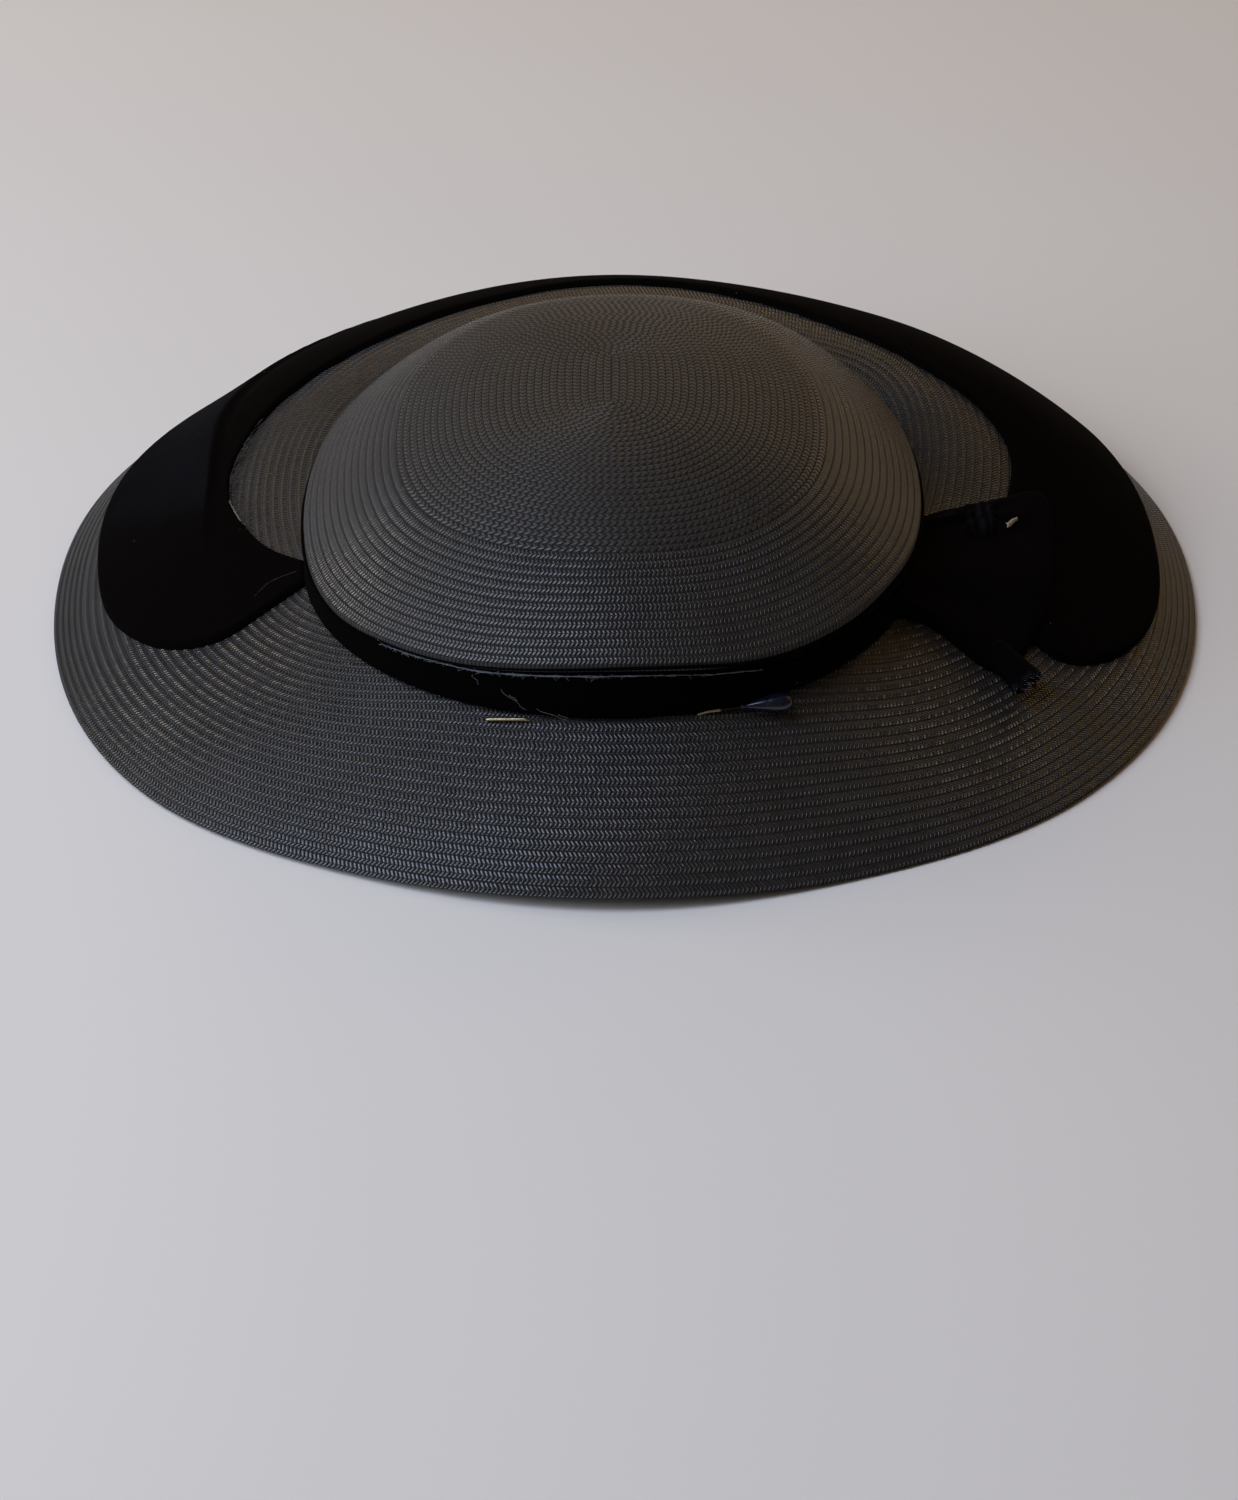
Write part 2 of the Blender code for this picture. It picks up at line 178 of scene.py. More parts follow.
def crownNormal(azimuth, share):
    azimuth, share = np.broadcast_arrays(np.asarray(azimuth, float), np.asarray(share, float))
    along = crownFace(azimuth + 1, share) - crownFace(azimuth - 1, share)
    upper, lower = np.minimum(share + 0.01, 0.995), np.maximum(share - 0.01, 0)
    inward = crownFace(azimuth, upper) - crownFace(azimuth, lower)
    normal = np.cross(inward, along)
    return normal / np.linalg.norm(normal, axis=-1, keepdims=True)


def hexColour(code):
    # sRGB hex to linear
    parts = [int(code[i:i + 2], 16) / 255 for i in (1, 3, 5)]
    return tuple(p / 12.92 if p <= 0.04045 else ((p + 0.055) / 1.055) ** 2.4 for p in parts) + (1.0,)


def setInputs(node, values):
    # sockets are linked, sRGB hex turns into a colour, and any other value is set as it is
    for key, value in values.items():
        if isinstance(value, bpy.types.NodeSocket):
            node.id_data.links.new(value, node.inputs[key])
        elif isinstance(key, str) and key not in node.inputs:
            setattr(node, key, value)
        else:
            isHex = isinstance(value, str) and value.startswith("#")
            node.inputs[key].default_value = hexColour(value) if isHex else value
    return node


def addNode(tree, kind, values, out=0):
    return setInputs(tree.nodes.new("ShaderNode" + kind), values).outputs[out]


smoothStep = {"interpolation_type": "SMOOTHSTEP"}
colourMix = {"data_type": "RGBA"}


def startMaterial(name):
    material = bpy.data.materials.new(name)
    material.use_nodes = True
    tree = material.node_tree
    return material, partial(addNode, tree), tree.nodes["Principled BSDF"]


def addPiece(name, points, faces, uvs, material, sharpAngle=None):
    mesh = bpy.data.meshes.new(name)
    mesh.from_pydata(np.asarray(points).reshape(-1, 3).tolist(), [], np.asarray(faces).tolist())
    if uvs is not None:
        layer = mesh.uv_layers.new(name="lay")
        layer.data.foreach_set("uv", np.asarray(uvs, float).ravel())
    mesh.materials.append(material)
    mesh.shade_smooth()
    if sharpAngle:
        mesh.set_sharp_from_angle(angle=math.radians(sharpAngle))
    piece = bpy.data.objects.new(name, mesh)
    bpy.context.scene.collection.objects.link(piece)
    return piece


def gridFaces(rings, around, closed=True):
    ring, step = np.meshgrid(np.arange(rings - 1), np.arange(around if closed else around - 1), indexing="ij")
    following = (step + 1) % around
    return np.stack([ring * around + step, ring * around + following,
                     (ring + 1) * around + following, (ring + 1) * around + step], -1).reshape(-1, 4)


def addSheet(name, points, material, wearAndSheen=None, along=None, flip=False):
    # an open grid of cloth, and at each point the share of the lighter colour: painted sheen, which on the
    # crescent also stands for brushed pile
    faces = gridFaces(*points.shape[:2], closed=False)
    faces = faces[:, ::-1] if flip else faces
    lay = None if wearAndSheen is None else np.stack([wearAndSheen.ravel()[faces], along.ravel()[faces]], -1)
    return addPiece(name, points, faces, lay, material)


def layStrips(strips):
    # one row of faces per strip: how far round at each corner, and the row at its near and far side
    lay = np.zeros((len(strips), len(strips[0][0]) - 1, 4, 2))
    for faceRow, (run, near, far) in zip(lay, strips):
        for corner, (side, row) in enumerate(((0, near), (1, near), (1, far), (0, far))):
            faceRow[:, corner, 0] = run[side:len(run) - 1 + side]
            faceRow[:, corner, 1] = row
    return lay.reshape(-1, 4, 2)


def layBraid(rings):
    strips = []
    for (near, run), (far, farRun) in zip(rings, rings[1:]):
        if int(far) != int(near):  # the step up to the next row takes that row's painted rim shade
            near, run = far, farRun
        strips.append((run, near, far))
    return layStrips(strips)


def makeStrawBraid(name, look):
    # dyed wheat straw, split, plaited into a flat braid and sewn row over row: small glossy slanted strands
    # that catch the light one by one, with painted shade in the gaps between them and a painted shade line
    # where each row dives under the next
    material, add, shader = startMaterial(name)
    uv = add("UVMap", {"uv_map": "lay"})
    along = add("SeparateXYZ", {0: uv}, "X")
    row = along.node.outputs["Y"]
    place = add("TexCoord", {}, "Object")
    rowShare = add("Math", {"operation": "FRACT", 0: row})
    rowIndex = add("Math", {"operation": "FLOOR", 0: row})
    # strands turn back at the plait's fold line, which makes the chevrons
    offFold = add("Math", {"operation": "SUBTRACT", 0: rowShare, 1: look["fold"]})
    foldWay = add("Math", {"operation": "ABSOLUTE", 0: offFold})
    slanted = add("Math", {"operation": "MULTIPLY_ADD", 0: foldWay, 1: look["slant"], 2: along})
    strandShare = add("Math", {"operation": "FRACT", 0: slanted})
    strandIndex = add("Math", {"operation": "FLOOR", 0: slanted})
    turn = add("Math", {"operation": "MULTIPLY", 0: strandShare, 1: math.pi})
    strandRound = add("Math", {"operation": "SINE", 0: turn})
    strandCore = add("MapRange", smoothStep | {0: strandRound, 1: 0.22, 2: 0.92, 3: 0.0, 4: 1.0})
    overFold = add("Math", {"operation": "GREATER_THAN", 0: rowShare, 1: look["fold"]})
    halfIndex = add("Math", {"operation": "MULTIPLY_ADD", 0: overFold, 1: 0.5, 2: rowIndex})
    strandPlace = add("CombineXYZ", {0: strandIndex, 1: halfIndex})
    strandTone = add("TexWhiteNoise", {"noise_dimensions": "2D", "Vector": strandPlace}, "Value")
    # painted shade: each row is darkened where it dives under the edge of the row above it, along its own
    # outer edge and along the plait's fold line
    tuckShade = add("MapRange", smoothStep | {0: rowShare, 1: look["tuckShadeFrom"], 2: 0.98, 3: 0.0, 4: 1.0})
    rim = add("MapRange", smoothStep | {0: rowShare, 1: 0.0, 2: 0.12, 3: 0.5, 4: 0.0})
    foldShade = add("MapRange", smoothStep | {0: foldWay, 1: 0.0, 2: 0.06, 3: 0.35, 4: 0.0})
    shade = add("Math", {"operation": "MAXIMUM", 0: rim, 1: foldShade})
    shade = add("Math", {"operation": "ADD", "use_clamp": True, 0: shade, 1: tuckShade})
    lit = add("Math", {"operation": "SUBTRACT", 0: 1.0, 1: shade})
    strandLit = add("Math", {"operation": "MULTIPLY", 0: strandCore, 1: lit})
    # tightly and loosely drawn stretches of plait, a centimetre or two long
    drawn = add("TexNoise", {"Scale": 60.0, "Detail": 2.0, "Roughness": 0.6, "Vector": place}, "Fac")
    drawnGain = add("MapRange", {0: drawn, 1: 0.30, 2: 0.70, 3: 0.55, 4: 1.25})
    toneGain = add("Math", {"operation": "MULTIPLY_ADD", 0: strandTone, 1: 0.7, 2: 0.5})
    gain = add("Math", {"operation": "MULTIPLY", 0: drawnGain, 1: toneGain})
    strandLight = add("Math", {"operation": "MULTIPLY", "use_clamp": True, 0: strandLit, 1: gain})
    # black dye gone brown in patches
    patches = add("TexNoise", {"Scale": 9.0, "Detail": 3.0, "Roughness": 0.6, "Vector": place}, "Fac")
    patchShare = add("MapRange", {0: patches, 1: 0.35, 2: 0.68, 3: 0.0, 4: 1.0})
    bright = add("Mix", colourMix | {0: patchShare, 6: look["strand"], 7: look["aged"]}, 2)
    # further up, coarser and browner plait, with less painted shade in its gaps
    coarse = add("MapRange", {0: row, 1: look["coarseRow"], 2: look["coarseRow"] + 3, 3: 0.0, 4: 1.0})
    bright = add("Mix", colourMix | {0: coarse, 6: bright, 7: look["coarseStrand"]}, 2)
    gapShade = add("Mix", colourMix | {0: coarse, 6: look["gapShade"], 7: look["coarseGapShade"]}, 2)
    # painted shade: the gaps between strands take the near-black gap colour
    colour = add("Mix", colourMix | {0: strandLight, 6: gapShade, 7: bright}, 2)
    # painted light: pale dots along the sewing stand in for light showing through pinholes where the rows are
    # pulled apart
    loose = add("TexNoise", {"Scale": 14.0, "Detail": 2.0, "Vector": place}, "Fac")
    pinholeLightShare = add("MapRange", smoothStep | {0: loose, 1: 0.60, 2: 0.80, 3: 0.0, 4: 0.5})
    for spot, reach in look["pinholeLightSpots"]:
        away = add("VectorMath", {"operation": "DISTANCE", 0: place, 1: spot}, "Value")
        near = add("MapRange", smoothStep | {0: away, 1: reach * 0.4, 2: reach, 3: 1.0, 4: 0.0})
        pinholeLightShare = add("Math", {"operation": "MAXIMUM", 0: pinholeLightShare, 1: near})
    atSeam = add("Math", {"operation": "COMPARE", 0: rowShare, 1: 0.10, 2: 0.045})
    nextToSeam = add("Math", {"operation": "COMPARE", 0: rowShare, 1: 0.27, 2: 0.035})
    atSeam = add("Math", {"operation": "MULTIPLY_ADD", 0: nextToSeam, 1: 0.7, 2: atSeam})
    pale = add("MapRange", {0: strandTone, 1: 0.25, 2: 0.75, 3: 0.0, 4: 1.0})
    paintedLightDots = add("Math", {"operation": "MULTIPLY", 0: atSeam, 1: pale})
    paintedLightDots = add("Math", {"operation": "MULTIPLY", 0: paintedLightDots, 1: pinholeLightShare})
    pinpoint = add("Math", {"operation": "POWER", 0: strandRound, 1: 6.0})
    paintedLightDots = add("Math", {"operation": "MULTIPLY", "use_clamp": True, 0: paintedLightDots, 1: pinpoint})
    colour = add("Mix", colourMix | {0: paintedLightDots, 6: colour, 7: look["pinholeLight"]}, 2)
    # waxy straw on the strands, dull dust in the gaps
    rough = add("MapRange", {0: strandLit, 1: 0.20, 2: 0.75, 3: 0.95, 4: look["roughness"]})
    rough = add("Math", {"operation": "MULTIPLY_ADD", "use_clamp": True, 0: coarse, 1: 0.22, 2: rough})
    # split straw lies nearly flat and only its sides turn down, and no two strands lie quite alike
    flat = add("MapRange", smoothStep | {0: strandRound, 1: 0.0, 2: 0.85, 3: 0.0, 4: 0.65})
    flat = add("Math", {"operation": "MULTIPLY_ADD", 0: strandRound, 1: 0.35, 2: flat})
    unevenness = add("TexNoise", {"Scale": 480.0, "Detail": 1.0, "Vector": place}, "Fac")
    flat = add("Math", {"operation": "MULTIPLY_ADD", 0: unevenness, 1: look["uneven"], 2: flat})
    roundLit = add("Math", {"operation": "MULTIPLY", 0: flat, 1: lit})
    bump = add("Bump", {"Strength": look["bump"], "Distance": 0.00036, "Height": roundLit})
    setInputs(shader, {"Base Color": colour, "Roughness": rough, "Normal": bump,
                       "IOR": 1.5,  # straw wax and dye
                       "Specular IOR Level": look["specular"], "Sheen Weight": look["sheen"],
                       "Sheen Roughness": 0.3, "Sheen Tint": "#c9b79c"})
    return material


brimBraid = {
    "azimuthSteps": 520,
    "ringShares": (0.0, 0.08, 0.24, 0.46, 0.72, 1.0),
    "ringHeights": (0.30, 0.72, 1.0, 0.94, 0.60, 0.0),
    "relief": 0.00034,
    "sunk": 0.00014,
    "overhang": 0.05,
    "sharpAngle": 38,
    "thread": 0.0013,  # the strands lie 1.1 mm apart, drawn at 1.3 mm so that they show
    "wander": 0.10,
    # every 30 degrees: width of a row that shows, in metres, and how much closer the five edge rows lie
    "rowWidths": ((0.0034, 1.0), (0.00335, 1.0), (0.0031, 0.90), (0.0029, 0.74), (0.0029, 0.78),
                  (0.003, 0.85), (0.003, 0.85), (0.003, 0.85), (0.003, 0.80), (0.003, 0.74),
                  (0.0032, 0.92), (0.00335, 1.0)),
    "edgeRows": 5,
    "edgeLap": 0.00012,
    "look": {"slant": -1.6, "fold": 0.36, "tuckShadeFrom": 0.80, "strand": "#2a2725", "aged": "#31291d",
             "gapShade": "#050404", "pinholeLight": "#b39f7a",
             # no coarse plait on the brim
             "coarseRow": 900, "coarseGapShade": "#050404", "coarseStrand": "#31291d",
             "roughness": 0.26, "specular": 0.6, "sheen": 0.0, "bump": 1.0, "uneven": 0.8,
             "pinholeLightSpots": (((0.098, -0.105, 0.02), 0.045), ((-0.128, -0.082, 0.02), 0.050),
                           ((0.150, -0.062, 0.015), 0.036), ((-0.140, 0.020, 0.02), 0.020))},
}


def rowWander(rng, rows, azimuth, amount):
    # each hand-guided row strays a little from its neighbours
    waves = np.zeros((rows, len(azimuth)))
    for cycle in (3, 7, 13, 24):
        phase = rng.uniform(0, 2 * math.pi, (rows, 1))
        size = rng.uniform(0.2, 1.0, (rows, 1)) / cycle ** 0.5
        waves += size * np.sin(np.radians(azimuth)[None] * cycle + phase)
    smooth = (waves + np.roll(waves, 1, 0) + np.roll(waves, -1, 0)) / 3
    return smooth * amount


def strandRun(line, thread, rng):
    # how many strands lie along a row up to each step, from a start of its own
    lap = np.linalg.norm(np.roll(line, -1, 0) - line, axis=-1)
    strands = max(round(lap.sum() / thread), 1)
    return np.concatenate([[0], np.cumsum(lap)]) / lap.sum() * strands + rng.uniform(0, 50)


def ringDistances(setup, edges, row):
    # each row's rings across its width; the first one tucks under the row before it
    for ringShare, ringHeight in zip(setup["ringShares"], setup["ringHeights"]):
        over = -setup["overhang"] if ringShare == 0 and row else 0
        distance = edges[row] + (edges[row + 1] - edges[row]) * (ringShare + over)
        yield distance, ringHeight, row + min(ringShare, 0.999)


def makeBrimStraw(setup):
    rng = np.random.default_rng(41)
    steps = setup["azimuthSteps"]
    azimuth = np.arange(steps) * 360 / steps
    shares = np.linspace(0, 1, 90)
    lines = rawBrimFace(azimuth[:, None], shares[None])
    pieces = np.linalg.norm(np.diff(lines, axis=1), axis=-1)
    lengths = np.concatenate([np.zeros((steps, 1)), np.cumsum(pieces, 1)], 1)
    total = lengths[:, -1]
    width = tableAt(setup["rowWidths"], 0, azimuth / 30, True)
    squeeze = tableAt(setup["rowWidths"], 1, azimuth / 30, True)
    rows = int(math.ceil((total / width).max())) + 3
    wander = rowWander(rng, rows + 1, azimuth, setup["wander"])
    wander[0] = 0
    # distance of each row's outer edge from the brim's edge
    tight = np.minimum(np.arange(rows + 1), setup["edgeRows"])[:, None] * squeeze[None]
    free = np.maximum(np.arange(rows + 1) - setup["edgeRows"], 0)[:, None]
    edges = (tight + free + wander) * width[None]

    def shareAt(distance):
        return np.array([np.interp(total[i] - distance[i], lengths[i], shares) for i in range(steps)])

    points, rings, cut = [], [], []
    for row in range(rows):
        middle = shareAt((edges[row] + edges[row + 1]) / 2)
        run = strandRun(rawBrimFace(azimuth, middle), setup["thread"], rng)
        for distance, ringHeight, place in ringDistances(setup, edges, row):
            lift = setup["relief"] * ringHeight - setup["sunk"]
            points.append(overBrim(azimuth, shareAt(distance), np.full(steps, lift)))
            rings.append((place, run))
            cut.append(distance > total)
    points, cut = np.array(points), np.array(cut)
    faces = gridFaces(len(points), steps)
    keep = ~cut.ravel()[faces].all(1)
    straw = makeStrawBraid("black_straw_braid_brim", setup["look"])
    piece = addPiece("brimRows", points, faces[keep], layBraid(rings)[keep], straw, setup["sharpAngle"])
    print("brim rows:", rows, "faces:", int(keep.sum()))
    return piece, straw


def makeBrimUnderside(straw):
    steps, rings = 240, 26
    strandsRound, rowsAcross = 760, 28
    azimuth = np.arange(steps) * 360 / steps
    shares = np.linspace(1, 0, rings)
    # wraps the edge up to the rows on top, and closes the head opening's rim
    wall = hat["strawWall"]
    turned = [(1.0, brimBraid["edgeLap"])] + [(share, -wall) for share in shares] + [(0.0, -0.0001)]
    points = [overBrim(azimuth, share, np.full(steps, lift)) for share, lift in turned]
    faces = gridFaces(len(points), steps)[:, ::-1]
    run = np.arange(steps + 1) / steps * strandsRound
    row = np.concatenate([[0.2], np.linspace(0.25, rowsAcross, rings), [rowsAcross + 0.4]])
    lay = layStrips([(run, near, far) for near, far in zip(row, row[1:])])[:, ::-1]
    return addPiece("brimUnderside", np.array(points), faces, lay, straw)


brimRows, brimStraw = makeBrimStraw(brimBraid)
brimUnderside = makeBrimUnderside(brimStraw)
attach(brimRows, "root")
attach(brimUnderside, "root")
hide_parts("brim")


crownBraid = {
    "azimuthSteps": 460,
    "ringShares": (0.0, 0.10, 0.30, 0.62, 1.0),
    "ringHeights": (0.35, 0.80, 1.0, 0.70, 0.0),
    "relief": 0.00028,
    "upperRelief": 0.00012,
    "sunk": 0.00012,
    "overhang": 0.05,
    "skirt": 0.0022,
    "sharpAngle": 38,
    "lowerRows": 13,
    "lowerWidth": 0.00275,
    "upperWidth": 0.00235,
    "lowerThread": 0.0013,
    "upperThread": 0.0022,  # a coarser plait above the thirteenth row
    "wander": 0.07,
    "look": {"slant": -1.0, "fold": 0.50, "tuckShadeFrom": 0.80, "strand": "#2a2725", "aged": "#2f281d",
             "gapShade": "#050404", "pinholeLight": "#b39f7a",
             "coarseRow": 12.5, "coarseGapShade": "#0b0907", "coarseStrand": "#2b241a",
             "roughness": 0.26, "specular": 0.6, "sheen": 0.04, "bump": 0.9, "uneven": 0.7,
             "pinholeLightSpots": (((-0.075, -0.080, 0.045), 0.030),)},
}


def makeCrownStraw(setup):
    rng = np.random.default_rng(17)
    steps = setup["azimuthSteps"]
    azimuth = np.arange(steps) * 360 / steps
    shares = np.linspace(0, 1, 240)
    line = crownFace(0.0, shares)
    length = np.concatenate([[0], np.cumsum(np.linalg.norm(np.diff(line, axis=0), axis=-1))])
    widths = [setup["lowerWidth"]] * setup["lowerRows"]
    left = length[-1] - sum(widths)
    # the last rows meet along the short seam on top
    upperRows = round(left / setup["upperWidth"])
    widths += [left / upperRows] * upperRows
    rows = len(widths)
    edges = np.concatenate([[0], np.cumsum(widths)])
    wander = rowWander(rng, rows + 1, azimuth, setup["wander"]) * setup["upperWidth"]
    fade = np.clip((edges[-1] - edges) / 0.02, 0, 1) * np.clip(edges / 0.006, 0, 1)
    edges = edges[:, None] + wander * fade[:, None]
    reliefRows = (setup["lowerRows"] - 1, setup["lowerRows"] + 2)
    points, rings = [], []
    for row in range(rows):
        thread = setup["lowerThread"] if row < setup["lowerRows"] else setup["upperThread"]
        middle = np.interp((edges[row] + edges[row + 1]) / 2, length, shares)
        run = strandRun(crownFace(azimuth, middle), thread, rng)
        relief = np.interp(row, reliefRows, (setup["relief"], setup["upperRelief"]))
        for distance, ringHeight, place in ringDistances(setup, edges, row):
            share = np.interp(distance, length, shares)
            lift = relief * ringHeight - setup["sunk"]
            points.append(crownFace(azimuth, share) + crownNormal(azimuth, np.minimum(share, 0.97)) * lift)
            rings.append((place, run))
    # the lowest row runs on down behind the band
    points.insert(0, points[0] - np.array([0, 0, setup["skirt"]]))
    rings.insert(0, rings[0])
    faces = gridFaces(len(points), steps)[:, ::-1]
    lay = layBraid(rings)[:, ::-1]
    straw = makeStrawBraid("black_straw_braid_crown", setup["look"])
    piece = addPiece("crownRows", np.array(points), faces, lay, straw, setup["sharpAngle"])
    print("crown rows:", rows, "faces:", len(faces))
    return piece, straw


def makeCrownInside(straw):
    # the wall inside the hat, its rim on the brim and the stretch behind the band
    steps, rings, topShare = 240, 30, 0.985
    strandsRound, rowsPerRing = 480, 1.4
    azimuth = np.arange(steps) * 360 / steps
    foot = seatHeight(azimuth, hat["headHalfWidth"] - hat["strawWall"], hat["headHalfWidth"])
    points = [crownFace(azimuth, 0.0)]
    outer, inner = hat["headHalfWidth"], hat["headHalfWidth"] - hat["strawWall"]
    top = bandTop(azimuth)
    for radius, height in ((outer, top), (outer, foot), (inner, foot), (inner, top)):
        ring = ovalPoint(azimuth, np.full(steps, radius))
        ring[:, 2] = height
        points.append(ring - hatCentre)
    for share in np.linspace(0.0, topShare, rings):
        points.append(crownFace(azimuth, share) - crownNormal(azimuth, share) * hat["strawWall"])
    faces = gridFaces(len(points), steps)
    run = np.arange(steps + 1) / steps * strandsRound
    lay = layStrips([(run, ring * rowsPerRing, (ring + 1) * rowsPerRing) for ring in range(len(points) - 1)])
    return addPiece("crownInside", np.array(points), faces, lay, straw)


crownRows, crownStraw = makeCrownStraw(crownBraid)
crownInside = makeCrownInside(crownStraw)
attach(crownRows, "root")
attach(crownInside, "root")
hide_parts("crown")


def makeVelvet(name, look):
    # silk velvet: a dense short pile that drinks the light, black face on, with a thin cool bloom where the
    # pile is seen from the side; a lighter colour laid where the sheet marks it paints brushed-over pile and
    # a painted sheen
    material, add, shader = startMaterial(name)
    place = add("TexCoord", {}, "Object")
    uv = add("UVMap", {"uv_map": "lay"})
    napAndSheen = add("SeparateXYZ", {0: uv}, "X")
    clouds = add("TexNoise", {"Scale": 30.0, "Detail": 4.0, "Distortion": 0.4, "Vector": place}, "Fac")
    cloudShare = add("MapRange", {0: clouds, 1: 0.30, 2: 0.60, 3: 0.35, 4: 1.0})
    share = add("Math", {"operation": "MULTIPLY", "use_clamp": True, 0: cloudShare, 1: napAndSheen})
    colour = add("Mix", colourMix | {0: share, 6: look["deep"], 7: look["brushedPileAndSheen"]}, 2)
    # lint, one fleck every few millimetres
    cells = add("TexVoronoi", {"Scale": 260.0, "Vector": place})
    fleck = add("MapRange", {0: cells, 1: 0.04, 2: 0.10, 3: 1.0, 4: 0.0})
    cellTone = add("SeparateColor", {0: cells.node.outputs["Color"]})
    rare = add("Math", {"operation": "GREATER_THAN", 0: cellTone, 1: 0.955})
    lint = add("Math", {"operation": "MULTIPLY", 0: fleck, 1: rare})
    colour = add("Mix", colourMix | {0: lint, 6: colour, 7: "#4a4440"}, 2)
    rough = add("MapRange", {0: clouds, 1: 0.0, 2: 1.0, 3: 0.99, 4: 0.90})
    # pile tufts stand about 0.3 mm apart, drawn at 0.6 mm so that they show
    pile = add("TexNoise", {"Scale": 1600.0, "Detail": 1.0, "Vector": place}, "Fac")
    bump = add("Bump", {"Strength": 0.5, "Distance": 0.0003, "Height": pile})
    setInputs(shader, {"Base Color": colour, "Roughness": rough, "Normal": bump,
                       "Specular IOR Level": 0.02,  # the pile traps the gloss
                       "Sheen Weight": look["sheen"], "Sheen Roughness": 0.25, "Sheen Tint": "#8590a6"})
    return material


def makeThread(name, look):
    # the cotton backing's yarn where it has frayed out of a cut edge: dusty, dull, grey with age
    material, add, shader = startMaterial(name)
    place = add("TexCoord", {}, "Object")
    twist = add("TexNoise", {"Scale": 900.0, "Detail": 1.0, "Vector": place}, "Fac")
    colour = add("Mix", colourMix | {0: twist, 6: look["dark"], 7: look["light"]}, 2)
    bump = add("Bump", {"Strength": 0.4, "Distance": 0.0001, "Height": twist})
    setInputs(shader, {"Base Color": colour, "Roughness": 0.8, "IOR": 1.53, "Normal": bump})
    return material


velvet = makeVelvet("black_silk_velvet", {"deep": "#050302", "brushedPileAndSheen": "#0e0d0f", "sheen": 0.006})
# the bow's velvet: a touch lighter, with a lighter colour for its painted highlights and a little more sheen
rubbedVelvetPaintedSheen = makeVelvet("rubbed_black_velvet_painted_sheen", {"deep": "#070404", "brushedPileAndSheen": "#1f1f24", "sheen": 0.04})
greyThread = makeThread("frayed_grey_cotton", {"dark": "#3a3d42", "light": "#878b90"})
paleThread = makeThread("raw_cotton_backing", {"dark": "#6d6552", "light": "#a89c82"})
dustyThread = makeThread("frayed_dusty_cotton", {"dark": "#2b2721", "light": "#5e564a"})


def addThreads(name, paths, radius, material):
    # every thread is a three-sided tube along its own points
    points, faces = [], []
    for path in paths:
        path = np.asarray(path, float)
        ahead = np.gradient(path, axis=0)
        ahead /= np.linalg.norm(ahead, axis=1, keepdims=True)
        side = np.cross(ahead, (0.31, 0.17, 1.0))
        side /= np.linalg.norm(side, axis=1, keepdims=True)
        over = np.cross(side, ahead)
        count, first = len(path), len(points)
        for corner in range(3):
            angle = corner * 2 * math.pi / 3
            points.extend(path + radius * (math.cos(angle) * side + math.sin(angle) * over))
        for corner in range(3):
            this, other = first + corner * count, first + (corner + 1) % 3 * count
            faces.extend((this + i, this + i + 1, other + i + 1, other + i) for i in range(count - 1))
    piece = addPiece(name, points, faces, None, material)
    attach(piece, "root")


crescent = {
    "wall": 0.0016,
    "lanes": 60,
    "stations": 420,
    # inner azimuth, inner share, outer azimuth, outer share, from the left lobe's tip round to the right lobe
    "sections": (
        (85, 0.035, 79, 0.035), (90, 0.17, 76, 0.20), (95, 0.26, 74, 0.38), (100, 0.33, 75.5, 0.53),
        (106, 0.37, 79.5, 0.66), (113, 0.38, 87, 0.78), (121, 0.38, 98, 0.84), (131, 0.36, 112, 0.88),
        (144, 0.33, 132, 0.89), (160, 0.34, 157, 0.89), (180, 0.38, 180, 0.89), (202, 0.32, 205, 0.89),
        (222, 0.27, 228, 0.89), (237, 0.29, 246, 0.88), (247, 0.36, 259, 0.87), (254, 0.39, 270, 0.86),
        (260, 0.36, 278, 0.80), (266, 0.30, 283, 0.70), (272, 0.24, 285, 0.58), (277, 0.20, 284, 0.46)),
    # the long crease in the left lobe: azimuth, share, how sharply it is pressed
    "crease": ((90, 0.40, 0.0), (99, 0.42, 0.4), (104, 0.435, 1.0), (108, 0.46, 1.0), (113, 0.50, 1.0),
               (118, 0.55, 1.0), (123, 0.59, 1.0), (133, 0.645, 1.0), (141, 0.68, 1.0), (152, 0.71, 0.9),
               (166, 0.73, 0.5), (178, 0.74, 0.0)),
    "creaseRise": 0.0011, "waveRise": 0.0012,
    "edgeRound": 0.0026, "endRound": 0.006, "sunk": 0.0002,
}


def sectionsAt(setup, position):
    return [tableAt(setup["sections"], column, position, False) for column in range(4)]


